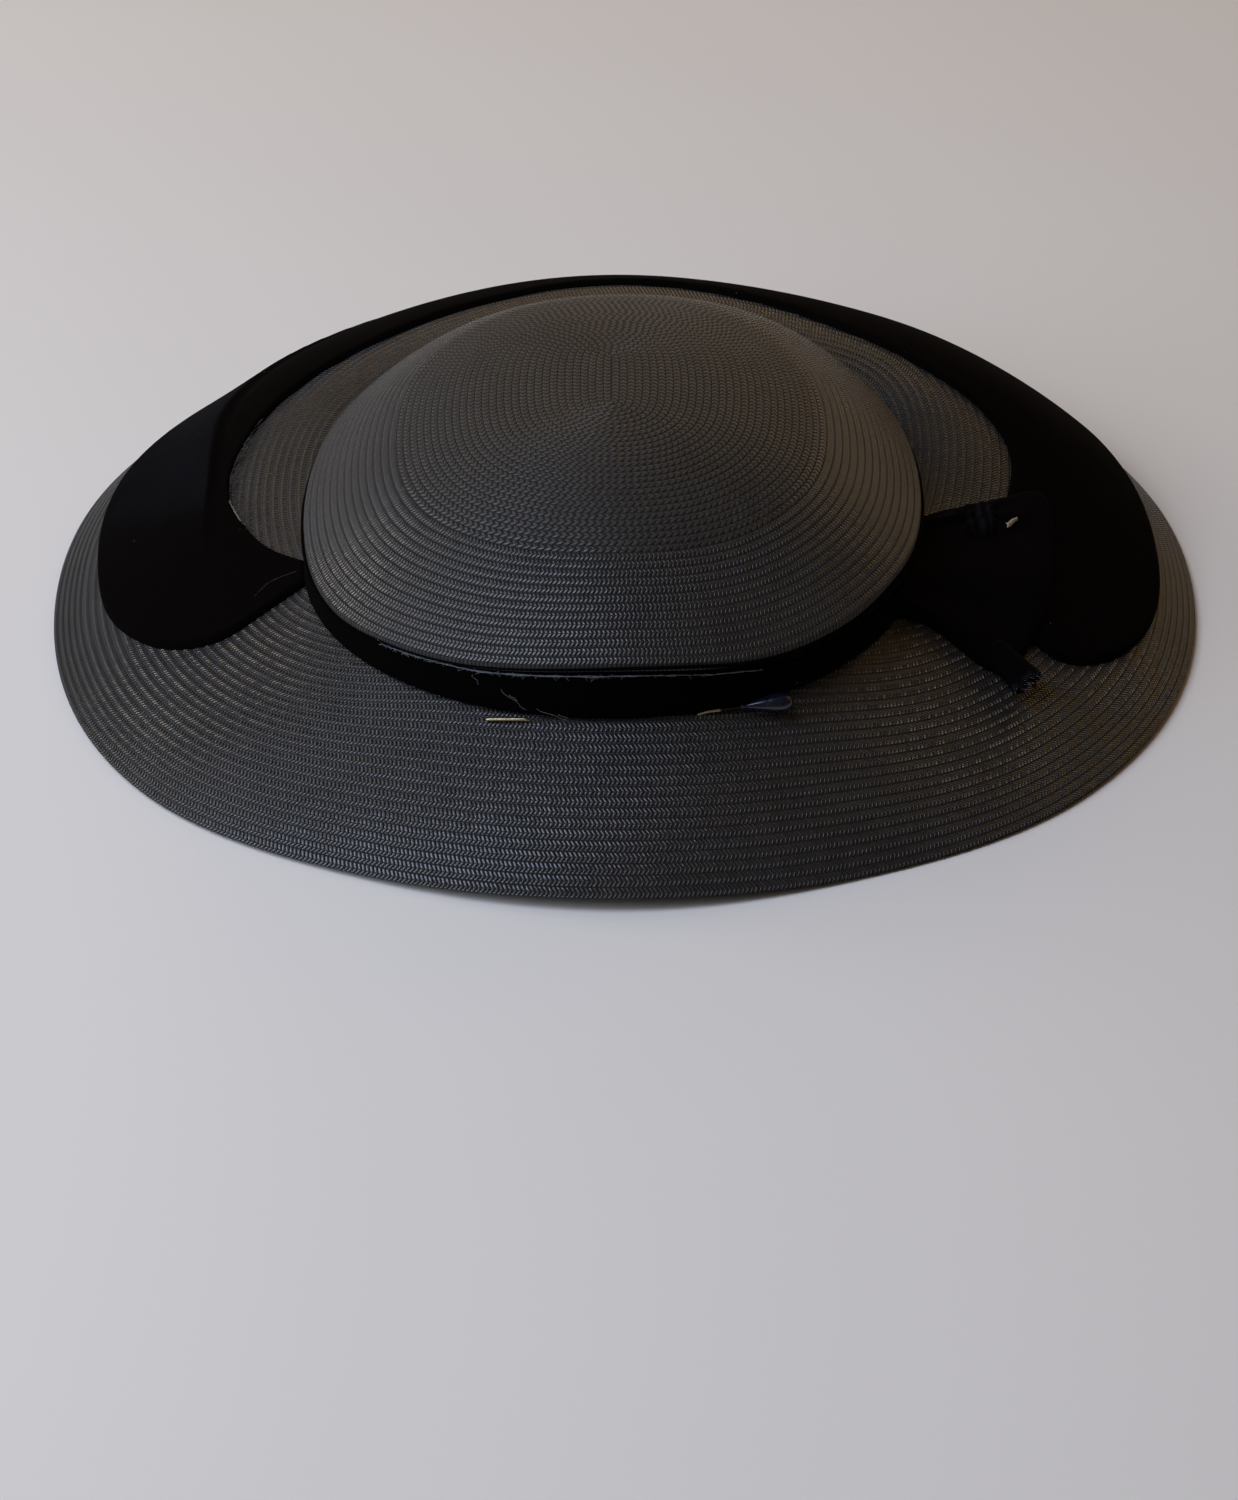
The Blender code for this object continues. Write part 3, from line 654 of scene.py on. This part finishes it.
def makeCrescent(setup):
    rng = np.random.default_rng(5)
    position = np.linspace(0, len(setup["sections"]) - 1, setup["stations"])
    inAz, inShare, outAz, outShare = sectionsAt(setup, position)
    lane = np.linspace(0, 1, setup["lanes"] + 1)
    azimuth = inAz[:, None] + (outAz - inAz)[:, None] * lane
    share = inShare[:, None] + (outShare - inShare)[:, None] * lane
    # the turned-under edges round off
    fromSide = np.minimum(lane, 1 - lane)[None]
    station = np.arange(setup["stations"])
    endWay = np.minimum(station, station[::-1])[:, None] / setup["stations"]
    across = np.linalg.norm(overBrim(outAz, outShare, np.zeros(len(outAz)))
                            - overBrim(inAz, inShare, np.zeros(len(inAz))), axis=-1)[:, None]
    side = np.clip(fromSide * across / setup["edgeRound"], 0, 1)
    end = np.clip(endWay * 1.1 / setup["endRound"], 0, 1)
    roundOff = np.sqrt(1 - (1 - np.minimum(side, end)) ** 2)
    waves = np.zeros(azimuth.shape)
    for _ in range(14):
        turn = rng.uniform(2, 9) * rng.choice([-1, 1])
        reach = rng.uniform(4, 16)
        waves += np.sin(np.radians(azimuth) * turn + share * reach + rng.uniform(0, 6.28)) / 14
    inside = np.clip(np.minimum(side, end), 0, 1)
    # pressed crease: a soft shoulder outside it, a dip on its inner side
    bends = np.array(setup["crease"])
    creaseShare = np.interp(azimuth, bends[:, 0], bends[:, 1])
    press = np.interp(azimuth, bends[:, 0], bends[:, 2], left=0, right=0)
    outside = (share - creaseShare) * 0.10
    shoulder = np.where(outside > 0, np.exp(-outside / 0.012), np.exp(outside / 0.0012))
    dip = np.exp(-((outside + 0.0035) / 0.002) ** 2)
    # painted sheen: outside the crease the velvet takes the lighter colour, for the grazing light on its
    # turned pile
    napAndSheen = press * np.clip(outside / 0.0008, 0, 1) * np.clip(1.15 - outside / 0.06, 0, 1)
    lowest = hat["trimSeat"] - setup["sunk"]
    lift = lowest + (setup["wall"] + setup["sunk"]) * roundOff + setup["waveRise"] * waves * inside
    lift = lift + setup["creaseRise"] * press * (shoulder - 0.4 * dip) * inside
    lift = np.maximum(lift, lowest)
    points = overBrim(azimuth, share, lift)
    piece = addSheet("velvetCrescent", points, velvet, napAndSheen, share, flip=True)
    print("velvet crescent faces:", len(piece.data.polygons))
    return piece


def frayCorner():
    # the cut corner inside the left lobe has frayed: short yarns stray onto the straw
    rng = np.random.default_rng(23)
    yarns, firstAzimuth, spread = 120, 95.5, 23
    shortest, longest = 0.010, 0.034  # as shares of the brim's width
    paths = []
    for _ in range(yarns):
        azimuth = firstAzimuth + spread * rng.beta(1.0, 2.0)
        share = np.interp(azimuth, (95, 100, 106, 113, 121), (0.26, 0.33, 0.37, 0.38, 0.38))
        way = np.linspace(0, 1, 5)
        reach = rng.uniform(shortest, longest)
        drift = rng.normal(0, 1.6)
        lift = 0.0010 + 0.0012 * way * rng.uniform(0.2, 1.2)
        inward = share + 0.006 - reach * way + 0.006 * way ** 2 * rng.normal()
        paths.append(overBrim(azimuth + drift * way, inward, lift))
    addThreads("cornerFray", paths, 0.00006, dustyThread)
    edge = np.linspace(0, 1, 40)
    azimuth = 95.8 + 4.6 * edge
    share = np.interp(azimuth, (95, 100, 106), (0.268, 0.336, 0.372))
    wander = 0.004 * np.sin(edge * 31) + 0.003 * np.sin(edge * 57)
    lines = [overBrim(azimuth, share + wander * pull, np.full(40, height))
             for pull, height in ((1.0, 0.0016), (-0.7, 0.0019), (0.4, 0.0022))]
    addThreads("cornerSelvedge", lines, 0.00007, paleThread)
    way = np.linspace(0, 1, 24)
    azimuth = np.interp(way, (0, 0.3, 0.6, 1), (79.0, 81.0, 81.6, 81.8))
    share = np.interp(way, (0, 0.3, 0.6, 1), (0.225, 0.175, 0.115, 0.065)) + 0.002 * np.sin(way * 17)
    addThreads("lobeThread", [overBrim(azimuth, share, np.full(24, 0.0026))], 0.00005, dustyThread)


velvetCrescent = makeCrescent(crescent)
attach(velvetCrescent, "root")
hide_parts("velvet_crescent")
frayCorner()


band = {
    "steps": 480,
    # stand off the crown in metres and share of the band's height: ribbon, cut edge, the lip behind it
    "profile": ((0.0004, -0.01), (0.0012, -0.012), (0.0019, 0.02), (0.0022, 0.10), (0.0021, 0.30),
                (0.0019, 0.55), (0.0019, 0.76), (0.0021, 0.88), (0.0021, 0.925), (0.0017, 0.935),
                (0.0012, 0.925), (0.0012, 0.97), (0.0015, 1.06), (0.0020, 1.12), (0.0026, 1.165),
                (0.0022, 1.19), (0.0012, 1.17), (0.0004, 1.02)),
    "cutEdge": 0.925, "lipTop": 1.19,
    # azimuth and height of the ribbon's frayed cut edge, and of the lip behind it
    "line": ((-60, 0.70), (-34, 0.80), (-22, 0.93), (-12, 0.98), (2, 0.965), (16, 1.00), (23, 1.01),
             (31, 1.08), (38, 1.10), (47, 1.16), (60, 0.96)),
    "lip": ((-60, 1.12), (-49, 1.05), (-35, 1.11), (-15, 1.19), (2, 1.14), (31, 1.14), (38, 1.16),
            (46, 1.20), (60, 1.10)),
    "lineFrom": -27.0, "lineTo": 45.0,  # azimuths where the frayed edge shows
    "fuzzCount": 150,
    # from azimuth to azimuth, and from height down to height
    "looseEnds": ((24.5, 23.2, 0.92, 0.66), (19.2, 14.6, 0.62, 0.14), (17.6, 16.2, 0.48, 0.36),
                  (12.8, 7.5, 0.20, -0.02), (9.0, 7.2, 0.10, 0.02)),
}


def onBand(azimuth, height, stand):
    azimuth = np.asarray(azimuth, float)
    inner = hat["headHalfWidth"]
    foot = seatHeight(azimuth, inner + 0.0003, inner + 0.0019)
    point = ovalPoint(azimuth, np.broadcast_to(inner + np.asarray(stand, float), azimuth.shape))
    point[..., 2] = foot + (bandTop(azimuth) - foot) * height
    return point - hatCentre


def heightOf(line, azimuth):
    return np.interp((np.asarray(azimuth, float) + 180) % 360 - 180, *zip(*line))


def makeBand(setup):
    rng = np.random.default_rng(8)
    steps = setup["steps"]
    azimuth = np.arange(steps) * 360 / steps
    line, lip = heightOf(setup["line"], azimuth), heightOf(setup["lip"], azimuth)
    points = []
    for stand, height in setup["profile"]:
        beyond = (height - setup["cutEdge"]) / (setup["lipTop"] - setup["cutEdge"])
        height = np.where(beyond > 0, line + (lip - line) * beyond, height * line / setup["cutEdge"])
        ripple = np.zeros(steps)
        for cycle in (5, 11, 19, 31, 53):
            phase = rng.uniform(0, 0.8) + cycle + height * 3
            ripple += np.sin(np.radians(azimuth) * cycle + phase) / cycle ** 0.6
        points.append(onBand(azimuth, height, stand + 0.00012 * ripple * (stand > 0.0018)))
    points.append(points[0])
    faces = gridFaces(len(points), steps)
    piece = addPiece("velvetBand", np.array(points), faces, None, velvet)
    # the ribbon's cut edge: two or three grey yarns, thick at the left and thinning to the right
    yarns = []
    for strand, short in enumerate((0, 0, 18, 34)):
        stretch = np.linspace(setup["lineTo"] - rng.uniform(0, 3), setup["lineFrom"] + short, 260)
        wander = np.convolve(rng.normal(0, 1, 280), np.ones(21) / 21, "valid") * 0.020
        lifted = 0.0022 + 0.0002 * np.sin(np.radians(stretch) * 37 + strand * 2)
        wander = wander + 0.007 * np.sin(np.radians(stretch) * 90 + strand * 2.1)
        yarns.append(onBand(stretch, heightOf(setup["line"], stretch) + wander, lifted))
    addThreads("bandYarns", yarns, 0.00011, greyThread)
    fuzz = []
    for _ in range(setup["fuzzCount"]):
        start = setup["lineTo"] - (setup["lineTo"] - setup["lineFrom"]) * rng.beta(1.0, 2.2)
        way = np.linspace(0, 1, 4)
        along = start + rng.normal(0, 0.7) * way
        height = heightOf(setup["line"], start) + rng.uniform(-0.10, 0.07) * way
        fuzz.append(onBand(along, height, 0.0022 + rng.uniform(0, 0.0005) * way))
    addThreads("bandFuzz", fuzz, 0.00005, greyThread)
    # a few loose ends hang down over the pile
    loose = []
    for start, end, high, low in setup["looseEnds"]:
        way = np.linspace(0, 1, 14)
        loose.append(onBand(start + (end - start) * way + 0.3 * np.sin(way * 9),
                            high + (low - high) * way ** 0.8, np.full(14, 0.0025)))
    addThreads("looseEnds", loose, 0.00007, greyThread)
    return piece


velvetBand = makeBand(band)
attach(velvetBand, "root")
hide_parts("velvet_band")


bow = {
    "stations": 90, "lanes": 64,
    # from the band outward: upper azimuth, upper share, lower azimuth, lower share
    "sections": ((272.3, -0.004, 297.0, -0.004), (270.3, 0.03, 295.0, 0.055), (268.5, 0.07, 293.0, 0.115),
                 (267.0, 0.12, 292.4, 0.17), (266.0, 0.165, 292.5, 0.22), (264.4, 0.255, 292.8, 0.29),
                 (262.9, 0.335, 293.0, 0.36), (261.5, 0.395, 292.9, 0.41), (261.0, 0.44, 291.0, 0.45),
                 (262.3, 0.48, 288.5, 0.48)),
    "wrap": {"from": 0.010, "to": 0.26, "at": 0.515, "halfWide": 0.072, "rise": 0.0016},
    # the rolled end: where it leaves the wing, where it opens, half width, half height, turns
    "roll": {"start": (290.2, 0.37), "end": (292.4, 0.552), "halfWide": 0.0067, "halfHigh": 0.0034,
             "turns": 1.75, "thick": 0.0008, "endYarns": 110},
}


def bowPoint(across, out, extra):
    position = np.asarray(out, float) * (len(bow["sections"]) - 1)
    upAz, upShare, lowAz, lowShare = sectionsAt(bow, position)
    azimuth = upAz + (lowAz - upAz) * across
    share = upShare + (lowShare - upShare) * across
    base = np.interp(out, (0, 0.10, 0.22, 0.45, 0.62, 1), (7.4, 5.4, 3.9, 3.3, 3.5, 2.9))
    inner = np.clip(across, 0, 1)
    full = np.interp(out, (0, 0.15, 0.5, 0.8, 1), (0.3, 0.8, 1.0, 0.8, 0.2))
    puff = 1.8 * np.sin(math.pi * inner) ** 0.8 * full
    foldOn = np.interp(out, (0.04, 0.14, 0.40, 0.50), (0, 1, 1, 0))
    ridge, valley = np.exp(-((across - 0.055) / 0.035) ** 2), np.exp(-((across - 0.125) / 0.030) ** 2)
    folded = foldOn * (0.8 * ridge - 1.3 * valley)
    fromKnot = np.hypot(across - 0.10, (out - 0.53) * 1.3)
    spread = np.arctan2(across - 0.10, (out - 0.53) * 1.3)
    gathers = 0.55 * np.sin(spread * 8 + 1.0) * np.exp(-fromKnot / 0.35) * np.clip(fromKnot / 0.08, 0, 1)
    longFolds = 0.5 * np.sin(6.28 * (2.1 * across + 0.45 * out))
    longFolds = longFolds * np.interp(out, (0, 0.1, 0.9, 1), (1, 1, 0.6, 0))
    across = np.asarray(across, float)
    inward = np.clip(np.minimum(across, 1 - across) * 0.062 / 0.0024, 0, 1)
    endward = np.clip((1 - out) * 0.050 / 0.0060, 0, 1)
    rounded = np.sqrt(np.clip(1 - (1 - np.minimum(inward, endward)) ** 2, 0, 1))
    overCrescent = np.interp(out, (0.40, 0.58), (0, 1)) * np.interp(across, (0.70, 0.88), (1, 0))
    floorLift = 0.6 + 1.4 * overCrescent
    top = base + (puff + folded + gathers + longFolds) * np.minimum(inward, endward)
    lift = (floorLift + (top - floorLift) * rounded) * 0.001
    return overBrim(azimuth, share, lift + extra)


def makeWing():
    across, out = np.meshgrid(np.linspace(0, 1, bow["lanes"] + 1), np.linspace(0, 1, bow["stations"]))
    points = bowPoint(across, out, 0.0)
    # painted highlight along the pressed edge of the fold
    pressed = np.interp(out, (0.1, 0.2, 0.36, 0.42), (0, 1, 1, 0))
    wearAndSheen = np.exp(-((across - 0.075) / 0.012) ** 2) * pressed * 0.8
    return addSheet("velvetWing", points, rubbedVelvetPaintedSheen, wearAndSheen, out, flip=True)


def makeWrap():
    setup = bow["wrap"]
    along, wide = np.meshgrid(np.linspace(0, 1, 44), np.linspace(-1, 1, 37))
    arch = np.sqrt(np.clip(1 - wide ** 2, 0, 1))
    arch = arch * np.clip(np.sin(math.pi * np.clip(along, 0.001, 0.999)), 0, 1) ** 0.35
    pleatWave = np.cos(wide * 11 + 1.5 * np.sin(along * 4))
    pleats = 0.00035 * pleatWave * arch
    narrow = 0.75 + 0.25 * np.sin(math.pi * along) ** 0.5
    out = setup["at"] + setup["halfWide"] * wide * narrow
    across = setup["from"] + (setup["to"] - setup["from"]) * along
    onWing = np.clip(across, 0.03, 1)
    points = bowPoint(onWing, out, -0.0010 + setup["rise"] * arch + 0.0012 * arch ** 2 + pleats)
    shift = bowPoint(across, out, 0.0) - bowPoint(onWing, out, 0.0)
    points[..., :2] += shift[..., :2]
    # painted highlight on the top of the arch and on the crests of its pleats
    wearAndSheen = np.clip(arch - 0.55, 0, 1) * (0.5 + 0.5 * pleatWave) * 1.6
    return addSheet("velvetWrap", points, rubbedVelvetPaintedSheen, wearAndSheen, along)


def makeRoll():
    setup = bow["roll"]
    start = overBrim(*setup["start"], 0.0009)
    end = overBrim(*setup["end"], 0.0009)
    up = brimNormal(*setup["end"])
    ahead = (end - start) / np.linalg.norm(end - start)
    wide = np.cross(ahead, up)
    wide /= np.linalg.norm(wide)
    up = np.cross(wide, ahead)
    turn, way = np.meshgrid(np.linspace(0, 2 * math.pi * setup["turns"], 150), np.linspace(0, 1, 22))
    tight = 1 - 0.50 * turn / turn.max()
    size = 0.80 + 0.20 * way ** 0.7
    wobble = 1 + 0.05 * np.sin(turn * 2.3 + way * 4)
    sideways = setup["halfWide"] * size * tight * np.cos(turn - 0.5 * math.pi) * wobble
    upward = setup["halfHigh"] * size * (tight * np.sin(turn - 0.5 * math.pi) * wobble + 1)
    length = np.linalg.norm(end - start)
    ragged = 0.0007 * way ** 6 * (np.sin(turn * 3.7) + np.sin(turn * 9.1 + 1))
    points = start + ahead * (way * length + ragged)[..., None]
    points = points + wide * sideways[..., None] + up * upward[..., None]
    # painted highlight round the roll's cut end
    wearAndSheen = np.clip((way - 0.86) / 0.14, 0, 1) * (0.6 + 0.4 * np.sin(turn * 5))
    piece = addSheet("velvetRoll", points, rubbedVelvetPaintedSheen, wearAndSheen, way)
    thick = piece.modifiers.new("cloth", "SOLIDIFY")
    thick.thickness = setup["thick"]
    thick.offset = 0.0
    # yarn ends stand out of the roll's cut end
    rng = np.random.default_rng(31)
    paths = []
    for _ in range(setup["endYarns"]):
        column = rng.integers(0, points.shape[1])
        root = points[-1, column] - ahead * 0.0006
        reach = ahead * rng.uniform(0.0006, 0.0018)
        reach = reach + wide * rng.normal(0, 0.0005) + up * rng.normal(0.0002, 0.0004)
        step = np.linspace(0, 1, 4)[:, None]
        paths.append(root + reach * step + up * 0.0003 * step ** 2)
    addThreads("rollFray", paths, 0.00006, greyThread)
    return piece


def makeRawTip():
    # a sliver of the pale backing shows beside the wrap
    along, wide = np.meshgrid(np.linspace(0, 1, 12), np.linspace(-1, 1, 7))
    out = 0.612 + 0.054 * along
    across = 0.190 - 0.040 * along + wide * 0.013 * (1 - along) ** 0.7 + 0.003 * np.sin(along * 8)
    piece = addSheet("backingTip", bowPoint(across, out, 0.0010 + 0.0006 * (1 - wide ** 2)), paleThread)
    thick = piece.modifiers.new("cloth", "SOLIDIFY")
    thick.thickness = 0.0004
    return piece


velvetWing = makeWing()
velvetWrap = makeWrap()
velvetRoll = makeRoll()
backingTip = makeRawTip()
for piece, node in ((velvetWing, "bow_loop"), (velvetWrap, "bow_knot"), (velvetRoll, "bow_tail")):
    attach(piece, "root")
    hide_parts(node)
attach(backingTip, "root")
print("bow made: wing, wrap and rolled end")


def makeGiltSteel(name, look):
    # drawn steel wire, gilded and worn: a warm, slightly dull metal line, darker beside the drop
    material, add, shader = startMaterial(name)
    place = add("TexCoord", {}, "Object")
    wearAndSheen = add("TexNoise", {"Scale": 700.0, "Detail": 2.0, "Vector": place}, "Fac")
    gilt = add("Mix", colourMix | {0: wearAndSheen, 6: "#c4b390", 7: "#7d6f56"}, 2)
    x = add("SeparateXYZ", {0: place}, "X")
    dark = add("MapRange", {0: x, 1: look["darkFrom"], 2: look["darkFrom"] + 0.0008, 3: 0.0, 4: 1.0})
    colour = add("Mix", colourMix | {0: dark, 6: gilt, 7: "#2a2624"}, 2)
    rough = add("MapRange", {0: wearAndSheen, 1: 0.3, 2: 0.7, 3: 0.28, 4: 0.46})
    setInputs(shader, {"Base Color": colour, "Roughness": rough, "Metallic": 1.0})
    return material


def makeBlueGlass(name):
    # pressed glass drop, deep blue and near opaque: a hard gloss, with a cloudy paler flow along it
    material, add, shader = startMaterial(name)
    uv = add("UVMap", {"uv_map": "lay"})
    stretched = add("Mapping", {"Scale": (2.2, 1.1, 1.0), "Vector": uv})
    streak = add("TexNoise", {"Scale": 3.0, "Detail": 2.0, "Distortion": 1.2, "Vector": stretched}, "Fac")
    share = add("MapRange", {0: streak, 1: 0.48, 2: 0.72, 3: 0.0, 4: 1.0})
    colour = add("Mix", colourMix | {0: share, 6: "#080d18", 7: "#141d2e"}, 2)
    # moulding leaves the surface faintly uneven
    uneven = add("MapRange", {0: streak, 1: 0.3, 2: 0.7, 3: 0.12, 4: 0.24})
    setInputs(shader, {"Base Color": colour, "Roughness": uneven, "IOR": 1.52,
                       "Coat Weight": 0.10, "Coat Roughness": 0.08})
    return material


pin = {
    "wireRadius": 0.00048,
    # azimuth, share and lift of the wire: out over the straw, in under two rows, out again to the drop
    "wire": ((21.6, 0.112, 0.0004), (20.8, 0.109, 0.0009), (18.2, 0.097, 0.0010), (15.2, 0.083, 0.0009),
             (14.2, 0.078, 0.0003), (13.2, 0.074, -0.0008), (0.0, 0.050, -0.0008), (-14.0, 0.050, -0.0008),
             (-15.4, 0.050, 0.0002), (-16.4, 0.051, 0.0011), (-18.5, 0.055, 0.0016), (-22.0, 0.062, 0.0021),
             (-22.9, 0.064, 0.0022)),
    "dropFrom": (337.3, 0.063, 0.0022), "dropTo": (328.4, 0.112, 0.0034),
    "dropRadius": 0.0033,
    # share of the drop's length and of its radius, from the collar to the round end
    "drop": ((0.0, 0.00), (0.0, 0.15), (0.015, 0.21), (0.05, 0.22), (0.07, 0.17), (0.12, 0.22), (0.22, 0.38),
             (0.35, 0.58), (0.50, 0.78), (0.64, 0.94), (0.76, 1.00), (0.86, 0.92), (0.94, 0.68),
             (0.985, 0.34), (1.0, 0.0)),
    "darkFrom": 0.0268,
}


def axesAlong(direction):
    ahead = np.asarray(direction, float) / np.linalg.norm(direction)
    side = np.cross(ahead, (0, 0, 1.0))
    side /= np.linalg.norm(side)
    return ahead, side, np.cross(side, ahead)


def makePinWire(setup):
    stations, around = 120, 12
    position = np.linspace(0, len(setup["wire"]) - 1, stations)
    azimuth, share, lift = [tableAt(setup["wire"], column, position, False) for column in range(3)]
    path = overBrim(azimuth, np.maximum(share, 0.0), lift)
    ahead = np.gradient(path, axis=0)
    rings = []
    for point, direction, along in zip(path, ahead, np.linspace(0, 1, stations)):
        _, side, over = axesAlong(direction)
        angle = np.linspace(0, 2 * math.pi, around + 1)[:-1]
        radius = setup["wireRadius"] * min(1.0, 0.25 + along * 18)  # ground to a point
        rings.append(point + radius * (np.cos(angle)[:, None] * side + np.sin(angle)[:, None] * over))
    gilt = makeGiltSteel("worn_gilt_steel", setup)
    return addPiece("pinWire", np.array(rings), gridFaces(len(rings), around), None, gilt)


def makeGlassDrop(setup):
    start, end = overBrim(*setup["dropFrom"]), overBrim(*setup["dropTo"])
    ahead, side, over = axesAlong(end - start)
    length = np.linalg.norm(end - start)
    around, stations = 48, 90
    position = np.linspace(0, len(setup["drop"]) - 1, stations)
    along = np.clip(tableAt(setup["drop"], 0, position, False), 0, 1)
    radius = np.clip(tableAt(setup["drop"], 1, position, False), 0, 1.02) * setup["dropRadius"]
    angle = np.arange(around) * 2 * math.pi / around
    # a little flattened where it lies
    ring = np.cos(angle)[:, None] * side + 0.92 * np.sin(angle)[:, None] * over
    points = start + (ahead * length * along[:, None])[:, None] + ring[None] * radius[:, None, None]
    faces = gridFaces(len(along), around)
    run = np.arange(around + 1) / around * 2
    lay = layStrips([(run, near, far) for near, far in zip(along, along[1:])])[..., ::-1]
    return addPiece("glassDrop", points, faces, lay, makeBlueGlass("blue_pressed_glass"))


pinWire = makePinWire(pin)
glassDrop = makeGlassDrop(pin)
for piece, node, slot in ((pinWire, "hat_pin_shaft", "pin_metal"), (glassDrop, "hat_pin_head", "pin_glass")):
    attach(piece, "root")
    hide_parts(node)
print("hat pin made")


def makeFloor():
    mesh = bpy.data.meshes.new("floor")
    mesh.from_pydata([(-6, -4, 0), (6, -4, 0), (6, 8, 0), (-6, 8, 0)], [], [(0, 1, 2, 3)])
    # matt painted board, plain and pale
    material, add, shader = startMaterial("pale_painted_board")
    place = add("TexCoord", {}, "Object")
    soft = add("TexNoise", {"Scale": 1.3, "Detail": 1.0, "Vector": place}, "Fac")
    colour = add("Mix", colourMix | {0: soft, 6: "#e0d7c9", 7: "#e4dccf"}, 2)
    setInputs(shader, {"Base Color": colour, "Roughness": 0.85})
    mesh.materials.append(material)
    floor = bpy.data.objects.new("floor", mesh)
    bpy.context.scene.collection.objects.link(floor)


def addAreaLight(name, place, aim, size, power, colour):
    data = bpy.data.lights.new(name, "AREA")
    data.shape = "RECTANGLE"
    data.size, data.size_y = size
    data.energy = power
    data.color = hexColour(colour)[:3]
    light = bpy.data.objects.new(name, data)
    light.location = place
    light.rotation_euler = (Vector(aim) - Vector(place)).to_track_quat("-Z", "Y").to_euler()
    bpy.context.scene.collection.objects.link(light)


def makeRoomLight(look):
    # the room's own light: cool and brighter on the window side, warm and dim on the other
    world = bpy.data.worlds.new("room")
    world.use_nodes = True
    tree = world.node_tree
    add = partial(addNode, tree)
    x = add("SeparateXYZ", {0: add("TexCoord", {}, "Generated")}, "X")
    across = add("MapRange", smoothStep | {0: x, 1: -0.7, 2: 0.6, 3: 0.0, 4: 1.0})
    colour = add("Mix", colourMix | {0: across, 6: look["windowSide"], 7: look["farSide"]}, 2)
    setInputs(tree.nodes["Background"], {"Color": colour, "Strength": look["strength"]})
    bpy.context.scene.world = world


makeFloor()
addAreaLight("windowLight", (-1.10, -0.50, 1.25), (0, 0, 0.04), (0.8, 2.4), 38, "#d2e1ff")
addAreaLight("wallLight", (0.5, 1.75, 0.75), (0, 0, 0.05), (2.4, 0.9), 7, "#f6cb88")
addAreaLight("lampLight", (1.5, 0.8, 0.8), (0, 0, 0.05), (1.0, 1.0), 0.7, "#ffbc6c")
addAreaLight("sideLight", (-1.5, 0.75, 0.8), (0, 0, 0.04), (1.0, 1.2), 9, "#f4efea")
makeRoomLight({"windowSide": "#c8ced8", "farSide": "#a07c4c", "strength": 0.235})

photoView = {
    "aim": (0.0, 0.0, 0.030),
    "elevation": 30.0,
    "distance": 1.150,
    "focalPixels": 3657.0,
    "aimPixel": (612.0, 545.0),
    "framePixels": (1238, 1500),
}


def addCamera(view):
    angle = math.radians(view["elevation"])
    sideStep = (view["aimPixel"][0] - view["framePixels"][0] / 2) / view["focalPixels"] * view["distance"]
    tilt = math.atan((view["framePixels"][1] / 2 - view["aimPixel"][1]) / view["focalPixels"])
    x, y, z = view["aim"]
    place = (x - sideStep, y - view["distance"] * math.cos(angle), z + view["distance"] * math.sin(angle))
    data = bpy.data.cameras.new("camera")
    data.sensor_fit = "VERTICAL"
    data.sensor_height = 24.0
    data.lens = view["focalPixels"] / view["framePixels"][1] * data.sensor_height
    data.clip_start = 0.05
    camera = bpy.data.objects.new("camera", data)
    camera.location = Vector(place) - Vector(hatCentre)
    camera.rotation_euler = (math.pi / 2 - angle - tilt, 0, 0)
    bpy.context.scene.collection.objects.link(camera)
    bpy.context.scene.camera = camera


addCamera(photoView)
bpy.context.scene.view_settings.view_transform = "Standard"
